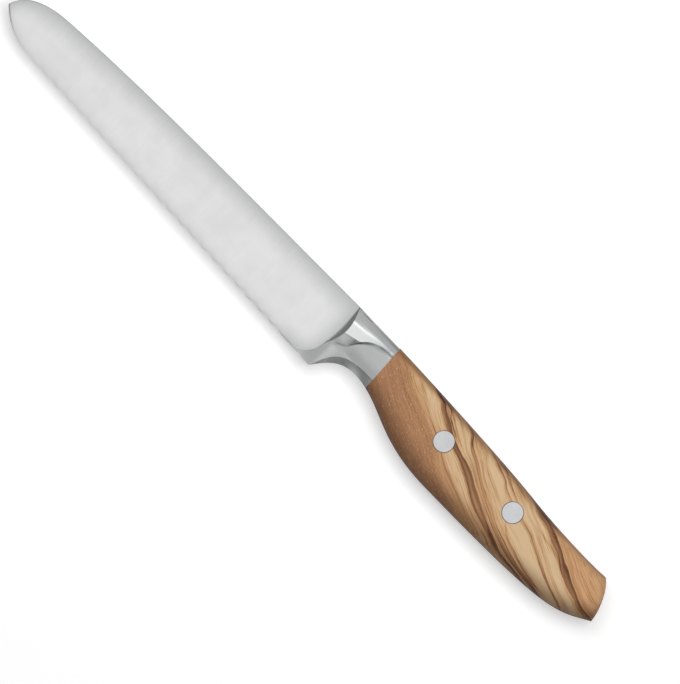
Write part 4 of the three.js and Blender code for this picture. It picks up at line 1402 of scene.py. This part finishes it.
class KNIFE_OT_rivets(Operator):
    """Build the two rivets, each a tube and a pin"""

    bl_idname = "knife.rivets"
    bl_label = "Rivets"
    bl_options = {"REGISTER", "UNDO"}

    def execute(self, context):
        settings = context.scene.knife_rivets
        steel = ground_steel("Rivet Steel", settings.colour, settings.roughness,
                             across=(0.45, 0.45, 0.3), depth=0.004, tone=0.2)
        head = settings.head_diameter / MM / 2
        seat = GRIP_HALF - RIVET_HEAD_DEPTH
        tube_end = RIVET_END_GAP - seat
        bore_end = tube_end + RIVET_GRIP + RIVET_END_GAP
        pin_end = seat - RIVET_END_GAP - RIVET_GRIP
        crown = [(head, seat)]
        crown += [(head - step, GRIP_HALF - drop) for step, drop in CROWN_RIM]
        crown += [(head * share, GRIP_HALF - drop) for share, drop in CROWN_FACE]
        lip = tube_end + TUBE_CHAMFER
        tube = [(0, bore_end), (BORE_RADIUS, bore_end), (BORE_RADIUS, lip),
                (BORE_RADIUS + TUBE_CHAMFER, tube_end), (TUBE_RADIUS - TUBE_CHAMFER, tube_end),
                (TUBE_RADIUS, lip), (TUBE_RADIUS, seat), *crown]
        pin = [(0, pin_end), (PIN_RADIUS - PIN_CHAMFER, pin_end), (PIN_RADIUS, pin_end + PIN_CHAMFER),
               (PIN_RADIUS, seat), *crown]
        for place in RIVET_PLACES:
            for half, profile, flip in (("female", tube, False), ("male", pin, True)):
                points, faces = turned(profile, rivet_centre(place), flip)
                piece = new_piece(f"{place}_rivet_{half}_ground", points, faces, [steel], sharp_angle=35)
                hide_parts(f"{place}_rivet_{half}")
                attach(piece, "root")
        return {"FINISHED"}


class KNIFE_OT_stage(Operator):
    """Set the floor, the lamps, the surround and the camera"""

    bl_idname = "knife.stage"
    bl_label = "Stage"
    bl_options = {"REGISTER", "UNDO"}

    def execute(self, context):
        scene = context.scene
        settings = scene.knife_stage
        scene.view_settings.view_transform = "Standard"
        self.floor(settings)
        self.surround(scene, settings)
        self.lamp("Key", settings.key, place=(0.0, 0.24, 1.2), aim=(0.0, 0.24, 0.0), size=(0.84, 0.48),
                  glossy=False)
        self.lamp("Overhead Card", settings.overhead, place=(0.06, 0.05, 1.0), aim=(0.06, 0.05, 0.0),
                  size=(1.28, 1.4), diffuse=False)
        self.lamp("Spine-Side Strip", settings.strip, place=(0.0, 0.76, 0.9), aim=(0.0, 0.0, 0.0),
                  size=(1.2, 0.2), diffuse=False)
        camera = bpy.data.objects.new("Camera", bpy.data.cameras.new("Camera"))
        scene.collection.objects.link(camera)
        knife_level = CAD_HIGH.z / 2
        camera.data.sensor_width = SENSOR_WIDTH
        camera.data.lens = SENSOR_WIDTH * settings.camera_height / settings.field
        camera.data.clip_end = CLIP_END
        camera.location = (*CAMERA_PLACE, knife_level + settings.camera_height)
        camera.rotation_euler = (0.0, 0.0, math.radians(CAMERA_TURN))
        scene.camera = camera
        return {"FINISHED"}

    def floor(self, settings):
        mesh = bpy.data.meshes.new("floor")
        turns = ((-1, -1), (1, -1), (1, 1), (-1, 1))
        corners = [(FLOOR_HALF * x, FLOOR_HALF * y, -FLOOR_DROP) for x, y in turns]
        mesh.from_pydata(corners, [], [(0, 1, 2, 3)])
        material, g, shader = new_material("Floor Paint")
        colour = settings.floor_colour
        mottle = g.noise(g.place_in_mm(), scale=0.05)
        path = g.outputs("ShaderNodeLightPath")
        mirrored = g.math("MAXIMUM", path["Is Glossy Ray"], path["Is Transmission Ray"])
        seen = g.math("MAXIMUM", path["Is Camera Ray"], mirrored)
        g.fill(shader, {
            "Base Color": g.blend(mottle, tinted(colour, FLOOR_MOTTLE), tinted(colour, 1.0)),
            "Roughness": 0.9,
            "Specular IOR Level": 0.1,
            "Emission Color": WHITE,
            "Emission Strength": seen * settings.floor_glow,
        })
        mesh.materials.append(material)
        floor = bpy.data.objects.new("floor", mesh)
        bpy.context.scene.collection.objects.link(floor)

    def surround(self, scene, settings):
        world = scene.world or bpy.data.worlds.new("Surround")
        scene.world = world
        world.use_nodes = True
        g = Graph(world.node_tree)
        _, _, up = g.split(g.output("Generated", "ShaderNodeTexCoord"))
        sky = g.step(up, *SKY_RISE, settings.horizon, settings.surround)
        dull = g.output("Is Diffuse Ray", "ShaderNodeLightPath")
        strength = sky * g.ramp(dull, 0.0, 1.0, 1.0, settings.fill)
        g.fill(world.node_tree.nodes["Background"], {"Color": WHITE, "Strength": strength})

    def lamp(self, name, brightness, place, aim, size, diffuse=True, glossy=True):
        data = bpy.data.lights.new(name, "AREA")
        data.shape = "RECTANGLE"
        data.size, data.size_y = size
        data.energy = brightness * math.pi * size[0] * size[1]
        lamp = bpy.data.objects.new(name, data)
        lamp.location = place
        lamp.rotation_euler = (Vector(aim) - Vector(place)).to_track_quat("-Z", "Y").to_euler()
        lamp.visible_camera = False
        lamp.visible_diffuse = diffuse
        lamp.visible_glossy = glossy
        bpy.context.scene.collection.objects.link(lamp)


class KNIFE_PT_parts(Panel):
    """Builders and settings of the knife's pieces"""

    bl_idname = "KNIFE_PT_parts"
    bl_label = "Sausage Knife"
    bl_space_type = "VIEW_3D"
    bl_region_type = "UI"
    bl_category = "Knife"

    def draw(self, context):
        groups = (
            (KNIFE_OT_forging, ("knife_blade", "knife_neck")),
            (KNIFE_OT_scales, ("knife_handle",)),
            (KNIFE_OT_rivets, ("knife_rivets",)),
            (KNIFE_OT_stage, ("knife_stage",)),
        )
        for operator, names in groups:
            box = self.layout.box()
            box.operator(operator.bl_idname)
            for name in names:
                settings = getattr(context.scene, name)
                for key in settings.__annotations__:
                    box.prop(settings, key)


SETTINGS = {
    "knife_blade": BladeSettings,
    "knife_neck": NeckSettings,
    "knife_handle": HandleSettings,
    "knife_rivets": RivetSettings,
    "knife_stage": StageSettings,
}
CLASSES = (*SETTINGS.values(), KNIFE_OT_forging, KNIFE_OT_scales, KNIFE_OT_rivets, KNIFE_OT_stage,
           KNIFE_PT_parts)


def register():
    for item in CLASSES:
        bpy.utils.register_class(item)
    for name, group in SETTINGS.items():
        setattr(bpy.types.Scene, name, PointerProperty(type=group))


def unregister():
    for name in SETTINGS:
        delattr(bpy.types.Scene, name)
    for item in reversed(CLASSES):
        bpy.utils.unregister_class(item)


def main():
    register()
    for operator in (bpy.ops.knife.stage, bpy.ops.knife.forging, bpy.ops.knife.scales, bpy.ops.knife.rivets):
        operator()


if __name__ == "__main__":
    main()
